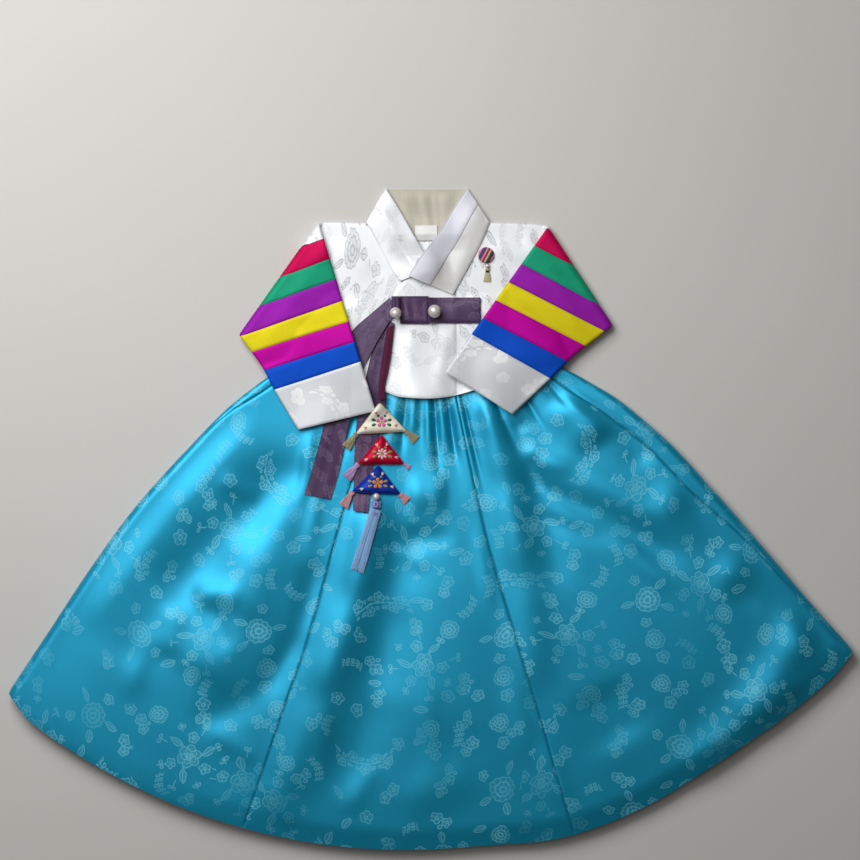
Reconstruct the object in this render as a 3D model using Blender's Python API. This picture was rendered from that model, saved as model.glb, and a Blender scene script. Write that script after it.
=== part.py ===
"""A small child's hanbok laid flat: gathered skirt, short jacket with striped sleeves, ribbons and charms.

Lengths below are millimetres in the object's own frame: the garment lies on the plane z = 0, its hem
towards -Y and its neck towards +Y. Every solid is made in metres at the end, by add_node.
The skirt is a fan about one point: "angle" is measured from -Y towards +X and "radius" from that point.
"""

import math

import bmesh
import bpy
import numpy as np

MM = 0.001
SEAM = 0.3  # space between two pieces at a seam
REST = 0.3  # space between a piece and what it lies on
CENTRE_X = 1.178  # middle of the outline, moved to the origin
CENTRE_Y = 0.089

# Cloth walls
SKIRT_WALL = 1.6
BAND_WALL = 1.5
JACKET_WALL = 1.4
COLLAR_WALL = 1.8
TRIM_WALL = 1.0
RIBBON_WALL = 1.1

# Skirt fan
FAN_X = -8.5
FAN_Y = 324.0
WAIST_RADIUS = 130.0
WAISTBAND_HEIGHT = 17.0
WAIST_SAG = 0.6  # a straight stretch of the skirt's top edge comes this far inside its curve
WAIST_LIFT = 1.8  # the skirt's back lies on the jacket's back near the waist

# Skirt outline: how far the cloth swings out at each radius
SIDE_ANGLES = (
    # radius, left angle, right angle
    (130, -38.0, 38.0),
    (170, -39.4, 39.6),
    (205, -42.0, 42.6),
    (245, -45.3, 46.0),
    (300, -46.4, 48.2),
    (350, -46.1, 48.4),
    (430, -45.4, 47.5),
    (520, -43.9, 46.4),
    (600, -42.5, 45.6),
    (690, -41.3, 45.1),
)
HEM_RADII = (
    # angle, radius of the hem's edge
    (-46, 680),
    (-41.4, 686),
    (-38, 694.5),
    (-30, 693),
    (-16, 691),
    (-4, 688),
    (5, 685.5),
    (13, 691),
    (20, 686),
    (28, 675),
    (34, 671.5),
    (41.5, 671),
    (48, 660),
)
# Height of the skirt's front above its back, and the radius of the round side folds
SKIRT_SECTION = (
    # share of the way from waist to hem, middle height, side fold radius
    (0.0, 3.7, 1.8),
    (0.10, 5.0, 2.0),
    (0.20, 9.0, 4.2),
    (0.32, 14.5, 6.8),
    (0.50, 20.0, 8.6),
    (0.75, 23.5, 9.6),
    (1.0, 19.0, 9.4),
)
# Where two widths of the skirt are sewn together
FRONT_SEAMS = (
    # radius, left front seam angle, right front seam angle
    (130, -15.0, 11.2),
    (320, -15.2, 11.5),
    (440, -15.3, 12.5),
    (560, -15.9, 13.5),
    (690, -16.5, 14.0),
)
SIDE_SEAMS = (
    # radius, left and right: way round the fold from its outermost line, plus is on the front
    (130, 9.0, 9.0),
    (200, 12.0, 15.0),
    (250, 13.0, 22.0),
    (330, 4.0, 25.0),
    (420, -6.0, 24.0),
    (510, -11.0, 15.0),
    (600, -13.0, 9.0),
    (690, -13.0, 4.0),
)
CENTRE_BACK_ANGLE = 1.0

# Gathers that fan out from the waist
GATHERS = (
    # angle, half width in degrees, height, share of the skirt's length it reaches
    (-36.0, 1.7, 3.5, 0.40),
    (-30.0, 1.6, 4.0, 0.45),
    (-24.0, 2.1, 5.0, 0.55),
    (-17.5, 1.8, 4.5, 0.60),
    (-12.6, 1.3, 3.5, 0.40),
    (-8.7, 1.3, 5.0, 0.42),
    (-5.0, 0.9, 2.6, 0.30),
    (-1.3, 1.5, 5.5, 0.36),
    (4.9, 1.4, 5.2, 0.34),
    (10.0, 1.1, 5.0, 0.46),
    (16.6, 2.5, 6.5, 0.62),
    (24.2, 1.5, 4.8, 0.36),
    (30.6, 1.8, 5.6, 0.40),
    (37.2, 1.7, 5.0, 0.42),
    (42.6, 1.0, 2.4, 0.30),
)
# Large folds of the skirt's front: plus stands up, minus sinks
FOLDS = (
    # start x, start y, end x, end y, half width, height
    (46, 128, 92, 2, 13, 5.0),
    (92, 2, 122, -86, 20, 5.5),
    (64, 54, 69, 12, 7, -5.5),
    (86, 92, 128, -10, 11, -6.5),
    (-16, 34, 8, 26, 24, -8.5),
    (-42, 14, -12, -26, 11, 4.5),
    (-12, -26, 26, 8, 11, 4.5),
    (-70, 84, -92, -18, 14, 4.0),
    (-92, -18, -136, -150, 19, 8.5),
    (-136, -150, -166, -250, 30, 4.5),
    (-46, -40, -60, -100, 15, -6.0),
    (-60, -100, -84, -210, 23, -9.0),
    (-172, 58, -236, 8, 17, -6.5),
    (-236, 8, -318, -66, 30, -5.5),
    (-262, -46, -178, -66, 17, 6.0),
    (-178, -66, -146, -20, 15, 3.5),
    (-208, -106, -240, -118, 13, -4.0),
    (-276, -118, -238, -156, 16, 6.0),
    (-238, -156, -200, -190, 17, 4.5),
    (-280, -196, -214, -218, 20, -6.0),
    (-214, -218, -158, -168, 19, -6.5),
    (-340, -176, -262, -262, 34, 4.0),
    (150, 30, 246, -30, 17, -7.0),
    (246, -30, 318, -78, 26, -5.5),
    (206, 92, 250, 66, 12, 4.0),
    (176, 92, 214, 34, 14, 4.0),
    (404, -122, 322, -206, 34, 6.5),
    (322, -206, 186, -268, 36, 5.5),
    (180, -70, 300, -160, 34, 3.0),
    (196, -170, 300, -220, 26, -4.5),
    (60, -120, 84, -300, 26, 3.5),
    (-20, -120, -30, -300, 34, 4.5),
    (150, -220, 166, -320, 17, -4.5),
    (-100, -290, -60, -340, 24, -3.5),
)

# Jacket. Flattened cloth tube: back sheet on the floor, front sheet above it
TUBE_HEIGHT = 5.6
TOP_LINE = (
    # x, y of the shoulder line
    (-142, 325.3),
    (-120, 326.3),
    (-70, 325.5),
    (66, 325.5),
    (110, 324.6),
    (133, 321.6),
)
JACKET_HEM = (
    # x, y of the jacket's lower edge
    (-144, 185),
    (-120, 167),
    (-84, 150),
    (-50, 139.6),
    (-32.7, 133.4),
    (-2.4, 131.6),
    (19, 133.4),
    (46.5, 140),
    (90, 155),
    (142, 180.4),
)
# Inner edge of each half of the jacket, which the collar covers
UNDER_FRONT_EDGE = (
    # share of the way from shoulder to hem, x
    (0.0, -70.0),
    (0.08, -56.0),
    (0.25, -37.0),
    (0.34, -28.0),
    (1.0, -28.0),
)
OVER_FRONT_EDGE = (
    (0.0, 66.0),
    (0.08, 51.0),
    (0.20, 41.0),
    (0.32, 31.0),
    (0.42, 29.0),
    (1.0, 29.0),
)
BACK_NECK_EDGE = (
    # share of the way from shoulder to hem, share of the way from the neck's side to the centre back
    (0.0, 0.0),
    (0.025, 0.32),
    (0.05, 0.80),
    (0.09, 1.0),
    (1.0, 1.0),
)
OVERLAP_EDGE = (
    # y, x of the free edge of the overlapping front
    (138.0, -54.5),
    (180.0, -48.0),
    (214.0, -43.5),
    (244.0, -40.0),
    (263.0, -27.0),
    (274.0, -18.0),
)
OVERLAP_STEP = 2.1

# Collar strips: outer and inner edge from the side of the neck down
UNDER_COLLAR = (
    # share, outer x, outer y, inner x, inner y
    (0.0, -69.5, 325.0, -48.0, 363.0),
    (0.33, -57.0, 301.5, -27.6, 328.5),
    (0.66, -44.8, 277.5, -6.5, 293.0),
    (1.0, -32.7, 260.5, 5.0, 275.0),
)
OVER_COLLAR = (
    (0.0, 65.6, 324.8, 40.5, 363.0),
    (0.25, 60.0, 311.0, 26.2, 340.0),
    (0.5, 51.4, 292.5, 10.2, 314.0),
    (0.75, 40.0, 271.5, -6.3, 292.0),
    (1.0, 25.6, 245.8, -23.3, 266.4),
)
NECK_LINING = (
    # share from top to bottom, left x, right x, y
    (0.0, -45.5, 38.5, 361.5),
    (0.35, -54.0, 48.0, 345.0),
    (0.7, -60.0, 55.5, 330.0),
    (1.0, -46.0, 42.0, 311.5),
)

# Sleeves, each folded over the front of the jacket along one slanting line
FOLD_ROOM = 1.0  # space left inside the fold, over the tube's front sheet
FOLD_WIDTH = 12.0  # length of cloth that goes round the fold
FOLD_CUTS = 4  # flat facets round the fold
SLEEVE_PUFF = 0.45
SLEEVE_WIDTHS = (
    # length along the sleeve back from its wrist, width
    (0.0, 88.5),
    (52.0, 100.0),
    (78.0, 105.0),
    (101.0, 112.0),
    (125.0, 119.5),
    (150.0, 126.0),
    (175.0, 133.0),
    (200.0, 140.0),
)
LEFT_STRIPES = (
    # name, start along the shoulder edge, slant of that seam
    ("red", 21.0, 0.060),
    ("green", 44.0, 0.062),
    ("purple", 67.0, 0.052),
    ("yellow", 92.0, 0.043),
    ("magenta", 115.8, 0.012),
    ("blue", 139.1, 0.008),
    ("cuff", 161.8, 0.020),
    ("end", 218.4, -0.058),
)
RIGHT_STRIPES = (
    ("red", 4.0, -0.147),
    ("green", 27.0, -0.135),
    ("purple", 51.5, -0.125),
    ("yellow", 76.0, -0.145),
    ("magenta", 100.5, -0.147),
    ("blue", 124.4, -0.142),
    ("cuff", 146.2, -0.106),
    ("end", 196.8, -0.057),
)

# Ribbons: left and right edge in rows from the knot down
SHORT_RIBBON = (
    # left x, left y, right x, right y
    (-43.5, 242.5, -37.5, 226.0),
    (-64.0, 225.0, -50.5, 206.0),
    (-84.0, 207.0, -63.0, 184.0),
    (-98.5, 183.0, -74.5, 161.0),
    (-108.5, 146.5, -82.0, 133.5),
    (-115.7, 105.0, -89.9, 99.3),
    (-127.0, 60.0, -98.5, 55.5),
    (-137.2, 26.7, -108.6, 21.2),
)
LONG_RIBBON = (
    (-52.0, 220.0, -38.5, 214.0),
    (-60.0, 196.0, -41.5, 185.0),
    (-66.5, 170.0, -44.8, 165.0),
    (-72.3, 143.5, -49.0, 141.0),
    (-75.5, 125.5, -48.5, 128.5),
    (-81.0, 97.0, -56.0, 95.0),
    (-83.0, 55.0, -62.5, 54.0),
    (-83.8, 9.1, -67.3, 6.9),
)
RIBBON_LINING = (
    (-46.6, 210.0, -38.6, 212.0),
    (-51.0, 183.0, -42.3, 183.0),
    (-54.5, 160.0, -46.0, 160.0),
    (-56.0, 144.0, -49.4, 142.5),
    (-55.5, 130.0, -48.8, 130.5),
)
BOW_BAND = (
    # left x, right x, low y, high y, extra thickness
    (-32.4, -1.6, 213.6, 243.9, 1.6),
    (-1.3, 55.5, 214.2, 242.4, 0.4),
)
KNOT_BOX = (-41.8, -32.7, 222.5, 243.6)

PEARLS = (
    # name, x, y, radius, share of the ball that stands above its seat
    ("pearl_left", -37.2, 224.7, 6.5, 0.93),
    ("pearl_right", 5.2, 226.9, 7.4, 0.93),
)

CHARMS = (
    # name, corners: top x, y, left x, y, right x, y
    ("charm_cream", -54.7, 127.4, -81.1, 92.9, -25.2, 95.6),
    ("charm_red", -52.5, 92.0, -78.9, 59.7, -27.2, 59.7),
    ("charm_blue", -55.8, 58.6, -85.5, 29.8, -31.6, 26.7),
)
CHARM_HEIGHT = 7.5
CORNER_TASSELS = (
    # name, charm, its corner (1 left, 2 right), direction in degrees from +X, length
    ("tassel_cream_left", "charm_cream", 1, 226, 20),
    ("tassel_cream_right", "charm_cream", 2, 318, 16),
    ("tassel_lilac_left", "charm_red", 1, 217, 21),
    ("tassel_lilac_right", "charm_red", 2, 322, 8),
    ("tassel_rose_left", "charm_blue", 1, 224, 20),
    ("tassel_rose_right", "charm_blue", 2, 318, 12),
)
CORNER_ROUND = 0.06  # share of a charm's side that its rounded corner takes
CHARM_PEARL = (-58.4, 24.1, 4.2)
CHARM_KNOT = (-58.6, 15.7, 5.2, 4.4)
LONG_TASSEL = (-58.6, 10.4, 253.0, 71.5)
PIN = (62.0, 289.0, 8.8, 3.2)
PIN_BEAD = (63.2, 277.2, 2.7)
PIN_TASSEL = (63.4, 274.1, 269.0, 15.0)

COLOURS = {
    # name: linear red, green, blue
    "turquoise": (0.016, 0.27, 0.42),
    "white": (0.80, 0.82, 0.83),
    "cream": (0.72, 0.69, 0.60),
    "trim": (0.76, 0.75, 0.82),
    "red": (0.62, 0.0, 0.045),
    "green": (0.01, 0.37, 0.17),
    "purple": (0.26, 0.01, 0.36),
    "yellow": (0.88, 0.72, 0.02),
    "magenta": (0.58, 0.0, 0.30),
    "blue": (0.01, 0.10, 0.68),
    "plum": (0.08, 0.045, 0.10),
    "wine": (0.16, 0.02, 0.045),
    "pearl": (0.82, 0.78, 0.74),
    "cotton": (0.78, 0.78, 0.76),
    "pale_blue": (0.36, 0.46, 0.66),
    "lilac": (0.52, 0.36, 0.52),
    "rose": (0.60, 0.30, 0.34),
    "olive": (0.46, 0.44, 0.30),
}


def ease(value):
    """0 below 0, 1 above 1, smooth between."""
    t = np.clip(value, 0.0, 1.0)
    return t * t * (3.0 - 2.0 * t)


def through(rows, at):
    """Smooth curve through rows of (key, value, ...) that never swings past them, read at any keys."""
    table = np.array(rows, float)
    keys = table[:, 0]
    values = table[:, 1:]
    rise = np.diff(values, axis=0) / np.diff(keys)[:, None]
    same = rise[1:] * rise[:-1] > 0
    mean = 2 * rise[1:] * rise[:-1] / np.where(same, rise[1:] + rise[:-1], 1.0)
    slope = np.concatenate([rise[:1], np.where(same, mean, 0.0), rise[-1:]])
    at = np.clip(np.asarray(at, float), keys[0], keys[-1])
    i = np.clip(np.searchsorted(keys, at, side="right") - 1, 0, len(keys) - 2)
    step = keys[i + 1] - keys[i]
    t = ((at - keys[i]) / step)[..., None]
    step = step[..., None]
    found = (2 * t**3 - 3 * t**2 + 1) * values[i] + (t**3 - 2 * t**2 + t) * step * slope[i]
    found = found + (3 * t**2 - 2 * t**3) * values[i + 1] + (t**3 - t**2) * step * slope[i + 1]
    return found if found.shape[-1] > 1 else found[..., 0]


def stacked(x, y, z):
    """One array of points from three that broadcast together."""
    return np.stack(np.broadcast_arrays(x, y, z), axis=-1).astype(float)


class Laid:
    """Height of the top of everything laid so far, kept on a square grid."""

    CELL = 2.0
    HALF_X = 484.0
    HALF_Y = 384.0

    def __init__(self):
        columns = int(2 * self.HALF_X / self.CELL) + 1
        rows = int(2 * self.HALF_Y / self.CELL) + 1
        self.top = np.zeros((rows, columns))

    def add(self, points, faces):
        """Raises the grid to each triangle that faces up."""
        for face in faces:
            for k in range(1, len(face) - 1):
                self.add_triangle(points[[face[0], face[k], face[k + 1]]])

    def add_triangle(self, p):
        """Raises the cells under one triangle to it."""
        area = (p[1, 0] - p[0, 0]) * (p[2, 1] - p[0, 1]) - (p[2, 0] - p[0, 0]) * (p[1, 1] - p[0, 1])
        if area <= 1e-6:
            return
        low = (p[:, :2].min(axis=0) + (self.HALF_X, self.HALF_Y)) / self.CELL
        high = (p[:, :2].max(axis=0) + (self.HALF_X, self.HALF_Y)) / self.CELL
        i = np.arange(int(math.ceil(low[1])), int(high[1]) + 1)
        j = np.arange(int(math.ceil(low[0])), int(high[0]) + 1)
        if not len(i) or not len(j):
            return
        y = (i * self.CELL - self.HALF_Y)[:, None]
        x = (j * self.CELL - self.HALF_X)[None, :]
        a = ((p[1, 0] - x) * (p[2, 1] - y) - (p[2, 0] - x) * (p[1, 1] - y)) / area
        b = ((p[2, 0] - x) * (p[0, 1] - y) - (p[0, 0] - x) * (p[2, 1] - y)) / area
        c = 1.0 - a - b
        inside = (a >= -1e-9) & (b >= -1e-9) & (c >= -1e-9)
        height = np.where(inside, a * p[0, 2] + b * p[1, 2] + c * p[2, 2], 0.0)
        block = self.top[i[0] : i[-1] + 1, j[0] : j[-1] + 1]
        np.maximum(block, height, out=block)

    def rest(self, reach):
        """A function of (x, y): the height of a soft piece that bridges dips narrower than reach."""
        steps = max(1, int(round(reach / self.CELL)))
        grid = self.top.copy()
        for axis in (0, 1):
            spread = grid.copy()
            for k in range(-steps - 1, steps + 2):
                np.maximum(spread, np.roll(grid, k, axis), out=spread)
            grid = spread
        for axis in (0, 1):
            grid = sum(np.roll(grid, k, axis) for k in range(-steps, steps + 1)) / (2 * steps + 1)

        def height(x, y):
            x, y = np.broadcast_arrays(np.asarray(x, float), np.asarray(y, float))
            u = np.clip((x + self.HALF_X) / self.CELL, 0, grid.shape[1] - 1.001)
            v = np.clip((y + self.HALF_Y) / self.CELL, 0, grid.shape[0] - 1.001)
            j = u.astype(int)
            i = v.astype(int)
            fu = u - j
            fv = v - i
            low = grid[i, j] * (1 - fu) + grid[i, j + 1] * fu
            high = grid[i + 1, j] * (1 - fu) + grid[i + 1, j + 1] * fu
            return low * (1 - fv) + high * fv

        return height


LAID = Laid()


def add_node(name, points, faces, colour, roughness=0.5):
    """Makes one closed solid as an object with its own material."""
    points = np.asarray(points, float)
    mesh = bpy.data.meshes.new(name)
    moved = (points - (CENTRE_X, CENTRE_Y, 0.0)) * MM
    mesh.from_pydata(moved.tolist(), [], [tuple(int(v) for v in face) for face in faces])
    shape = bmesh.new()
    shape.from_mesh(mesh)
    bmesh.ops.recalc_face_normals(shape, faces=shape.faces)
    shape.to_mesh(mesh)
    LAID.add(points, [[v.index for v in face.verts] for face in shape.faces])
    shape.free()
    material = bpy.data.materials.new(name)
    material.use_nodes = True
    surface = material.node_tree.nodes["Principled BSDF"]
    surface.inputs["Base Color"].default_value = (*COLOURS[colour], 1.0)
    surface.inputs["Roughness"].default_value = roughness
    surface.inputs["Metallic"].default_value = 0.0
    mesh.materials.append(material)
    bpy.context.scene.collection.objects.link(bpy.data.objects.new(name, mesh))


def grid_normals(mid):
    """Normals of a grid of points, from the mean direction of the edges that meet at each."""
    found = []
    for axis in (0, 1):
        step = np.diff(mid, axis=axis)
        step = step / np.maximum(np.linalg.norm(step, axis=-1, keepdims=True), 1e-9)
        first = np.take(step, [0], axis=axis)
        last = np.take(step, [-1], axis=axis)
        found.append(np.concatenate([first, step], axis) + np.concatenate([step, last], axis))
    normal = np.cross(found[0], found[1])
    return normal / np.maximum(np.linalg.norm(normal, axis=-1, keepdims=True), 1e-9)


def flatter_diagonals(mid):
    """True for each cell of a grid where the surface bends less along its second diagonal."""
    m = np.pad(mid, ((1, 1), (1, 1), (0, 0)), mode="reflect", reflect_type="odd")
    first = m[:-3, :-3] - m[1:-2, 1:-2] - m[2:-1, 2:-1] + m[3:, 3:]
    second = m[:-3, 3:] - m[1:-2, 2:-1] - m[2:-1, 1:-2] + m[3:, :-3]
    return np.linalg.norm(second, axis=-1) < np.linalg.norm(first, axis=-1)


def wall(mid, thickness, normal=None, cross=None):
    """A wall of cloth round a grid of mid-surface points, as (points, triangles)."""
    rows, columns = mid.shape[:2]
    normal = grid_normals(mid) if normal is None else normal
    half = np.broadcast_to(np.asarray(thickness, float) / 2, mid.shape[:2])[..., None]
    points = np.concatenate([(mid + normal * half).reshape(-1, 3), (mid - normal * half).reshape(-1, 3)])
    under = rows * columns
    cross = flatter_diagonals(mid) if cross is None else cross
    faces = []
    for i in range(rows - 1):
        for j in range(columns - 1):
            a = i * columns + j
            b = a + columns
            halves = ((a, b, a + 1), (b, b + 1, a + 1)) if cross[i, j] else ((a, b, b + 1), (a, b + 1, a + 1))
            for p, q, r in halves:
                faces.append((p, q, r))
                faces.append((p + under, r + under, q + under))
    last = (rows - 1) * columns
    edge = [k * columns for k in range(rows)]
    edge += [last + j for j in range(1, columns)]
    edge += [k * columns + columns - 1 for k in range(rows - 2, -1, -1)]
    edge += list(range(columns - 2, 0, -1))
    for k, p in enumerate(edge):
        q = edge[(k + 1) % len(edge)]
        faces.append((q, p, p + under))
        faces.append((q, p + under, q + under))
    return points, faces


def add_wall(name, mid, thickness, colour, normal=None, roughness=0.5, cross=None):
    """A node that is one wall of cloth."""
    points, faces = wall(mid, thickness, normal, cross)
    add_node(name, points, faces, colour, roughness)


# ---------------------------------------------------------------- skirt


def fan(radius, angle):
    """Plan position in the skirt's fan; angle in degrees."""
    turn = np.radians(angle)
    return FAN_X + radius * np.sin(turn), FAN_Y - radius * np.cos(turn)


def skirt_radius(share, angle):
    """Radius at a share of the way from the waist to the hem."""
    return WAIST_RADIUS + share * (through(HEM_RADII, angle) - WAIST_RADIUS)


def jacket_hem_y(x):
    """Lower edge of the jacket."""
    return through(JACKET_HEM, x)


def skirt_back_z(x, y):
    """Middle of the skirt's back sheet: on the floor, or on the jacket's back."""
    over = ease((y - jacket_hem_y(x) + 34.0) / 30.0)
    return SKIRT_WALL / 2 + WAIST_LIFT * over


def fold_height(x, y):
    """Sum of the large folds at a plan position."""
    total = np.zeros(np.broadcast(x, y).shape)
    for x0, y0, x1, y1, width, height in FOLDS:
        run = np.array([x1 - x0, y1 - y0], float)
        along = np.clip(((x - x0) * run[0] + (y - y0) * run[1]) / (run @ run), 0.0, 1.0)
        apart = np.hypot(x - x0 - along * run[0], y - y0 - along * run[1])
        total += height * np.exp(-((apart / width) ** 2))
    return total


def gather_height(share, angle):
    """Sum of the gathers at a place in the fan."""
    total = np.zeros(np.broadcast(share, angle).shape)
    for middle, half, height, reach in GATHERS:
        rise = 0.28 + 0.72 * ease((share - 0.09) / 0.08)
        fade = 1.0 - ease((share - 0.16) / (reach - 0.16))
        wide = half * (1.0 + 0.6 * share / reach)
        total += height * rise * fade * np.exp(-(((angle - middle) / wide) ** 2))
    return total


def skirt_front(share, angle):
    """Mid-surface points of the skirt's front."""
    radius = skirt_radius(share, angle)
    x, y = fan(radius, angle)
    left, right = np.moveaxis(through(SIDE_ANGLES, radius), -1, 0)
    middle, fold = np.moveaxis(through(SKIRT_SECTION, share), -1, 0)
    edge = np.radians(np.minimum(angle - left, right - angle)) * radius - fold
    edge = np.maximum(edge, 0.0)
    rise = 1.0 - np.exp(-((edge / 48.0) ** 2))
    near = ease(edge / 34.0)
    base = skirt_back_z(x, y)
    under_jacket = ease((share - 0.085) / 0.07)
    extra = gather_height(share, angle) + fold_height(x, y) * under_jacket
    height = 2 * fold + (middle - 2 * fold) * rise + extra * near
    least = SKIRT_WALL + 1.0
    height = least + np.logaddexp(0.0, (height - least) * 1.2) / 1.2
    return stacked(x, y, base + height)


def skirt_side(share, side, way):
    """Mid-surface points round a side fold: way is the length from its outermost line, plus on the front."""
    column = 0 if side < 0 else 1
    radius = skirt_radius(share, 44.0 * side)
    for _ in range(3):
        fold = through(SKIRT_SECTION, share)[..., 1]
        turn = np.clip(way / fold, -math.pi / 2, math.pi / 2)
        flat = np.maximum(np.abs(way) - fold * math.pi / 2, 0.0)
        inward = np.where(flat > 0, fold + flat, fold * (1 - np.cos(turn)))
        angle = through(SIDE_ANGLES, radius)[..., column] - side * np.degrees(inward / radius)
        radius = skirt_radius(share, angle)
    x, y = fan(radius, angle)
    round_z = skirt_back_z(x, y) + fold * (1 + np.sin(turn))
    front = skirt_front(share, angle)[..., 2]
    z = np.where(way >= fold * math.pi / 2, front, round_z)
    return stacked(x, y, z)


def skirt_back(share, angle):
    """Mid-surface points of the skirt's back."""
    x, y = fan(skirt_radius(share, angle), angle)
    return stacked(x, y, skirt_back_z(x, y))


def normals_of(surface, share, across, step):
    """Normals of a surface of (share, across), from points a small step apart."""
    ahead = np.clip(share + 0.002, 0, 1)
    behind = np.clip(share - 0.002, 0, 1)
    along = surface(ahead, across) - surface(behind, across)
    sideways = surface(share, across + step) - surface(share, across - step)
    normal = np.cross(along, sideways)
    return normal / np.linalg.norm(normal, axis=-1, keepdims=True)


def skirt_shares():
    """Rows of the skirt's panels, closer together where it is gathered."""
    return np.concatenate([np.linspace(0, 0.2, 7)[:-1], np.linspace(0.2, 0.44, 6)[:-1], np.linspace(0.44, 1, 8)])


def make_skirt():
    """Three front widths, two back widths that wrap round the sides, and the waistband."""
    share = skirt_shares()[:, None]
    radius = skirt_radius(share, 0.0)
    seams = through(FRONT_SEAMS, radius)
    gap = np.degrees(SEAM / 2 / radius)
    sides = through(SIDE_SEAMS, radius)
    fold = through(SKIRT_SECTION, share)[..., 1]
    quarter = fold * math.pi / 2

    across = np.linspace(0, 1, 19)[None, :]
    left_seam = seams[..., 0] + gap
    right_seam = seams[..., 1] - gap
    angle = left_seam + (right_seam - left_seam) * across
    mid = skirt_front(share, angle)
    normal = normals_of(skirt_front, share, angle, 0.05)
    add_wall("skirt_front_centre", mid, SKIRT_WALL, "turquoise", normal, 0.35)

    for side, name, columns in ((-1, "left", 13), (1, "right", 14)):
        column = 0 if side < 0 else 1
        seam = seams[..., column]

        def panel(part, way, side=side):
            """The side of the skirt, by length round it."""
            return skirt_side(part, side, way)

        flat = np.radians(np.abs(through(SIDE_ANGLES, radius)[..., column] - seam)) * radius
        start = flat - fold + quarter
        end = sides[..., column] + SEAM / 2
        knee = np.maximum(quarter, end + 8.0)
        far = start + (knee - start) * np.linspace(0, 1, columns)[None, :]
        near = knee + (end - knee) * np.linspace(0, 1, 6)[None, 1:]
        way = np.concatenate([far, near], axis=1)
        mid = panel(share, way)
        normal = normals_of(panel, share, way, 0.2)
        mid[:, :1] = skirt_front(share, seam + side * gap)
        normal[:, :1] = normals_of(skirt_front, share, seam + side * gap, 0.05) * side
        add_wall(f"skirt_front_{name}", mid, SKIRT_WALL, "turquoise", normal, 0.35)

        start = sides[..., column] - SEAM / 2
        full = np.radians(np.abs(through(SIDE_ANGLES, radius)[..., column] - CENTRE_BACK_ANGLE)) * radius
        end = -quarter - full + fold
        near = start + (-quarter - start) * np.linspace(0, 1, 7)[None, :]
        far = -quarter + (end + quarter) * np.array([0.15, 0.45, 0.75, 1.0])[None, :]
        way = np.concatenate([near, far], axis=1)
        mid = panel(share, way)
        normal = normals_of(panel, share, way, 0.2)
        mid[:, -1:] = skirt_back(share, CENTRE_BACK_ANGLE + side * gap)
        add_wall(f"skirt_back_{name}", mid, SKIRT_WALL, "turquoise", normal, 0.35)

    add_waistband()


def ring(sections, thickness):
    """A flattened tube of cloth, from closed rows of mid-surface points, as (points, triangles)."""
    loops = sections.shape[1]
    turned = np.concatenate([sections[:, -1:], sections, sections[:, :1]], axis=1)
    normal = grid_normals(turned)[:, 1:-1]
    half = thickness / 2
    points = np.concatenate([(sections + normal * half).reshape(-1, 3), (sections - normal * half).reshape(-1, 3)])
    under = sections.shape[0] * loops
    faces = []
    for i in range(sections.shape[0] - 1):
        for j in range(loops):
            a = i * loops + j
            b = i * loops + (j + 1) % loops
            for p, q, r in ((a, a + loops, b + loops), (a, b + loops, b)):
                faces.append((p, q, r))
                faces.append((p + under, r + under, q + under))
    for row in (0, sections.shape[0] - 1):
        for j in range(loops):
            a = row * loops + j
            b = row * loops + (j + 1) % loops
            faces.append((a, b, b + under))
            faces.append((a, b + under, a + under))
    return points, faces


def tube_loop(height, sheet_columns, round_steps):
    """Closed section of a flattened tube: (share across its flat part, outward end in radii, height)."""
    radius = height / 2
    flat = np.linspace(0, 1, sheet_columns)
    turn = np.linspace(-90, 90, round_steps + 2)[1:-1]
    back = [(t, 0.0, 0.0) for t in flat]
    right = [(1.0, math.cos(math.radians(a)), radius + radius * math.sin(math.radians(a))) for a in turn]
    front = [(t, 0.0, height) for t in flat[::-1]]
    left = [(0.0, -math.cos(math.radians(a)), radius + radius * math.sin(math.radians(a))) for a in turn[::-1]]
    return np.array(back + right + front + left)


def add_waistband():
    """The band that the gathered skirt hangs from, inside the jacket."""
    height = 2 * SKIRT_SECTION[0][2] + 0.2
    loop = tube_loop(height, 12, 3)
    rows = []
    low = WAIST_RADIUS - SEAM - WAIST_SAG
    for radius in (low, low - WAISTBAND_HEIGHT):
        spread = np.degrees((height / 2) / radius)
        angle = -37.0 + spread + (74.0 - 2 * spread) * loop[:, 0] + spread * loop[:, 1]
        x, y = fan(radius, angle)
        rows.append(stacked(x, y, JACKET_WALL + 0.4 + BAND_WALL / 2 + loop[:, 2]))
    points, faces = ring(np.array(rows), BAND_WALL)
    add_node("skirt_waistband", points, faces, "cotton", 0.8)


# ---------------------------------------------------------------- jacket


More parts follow.
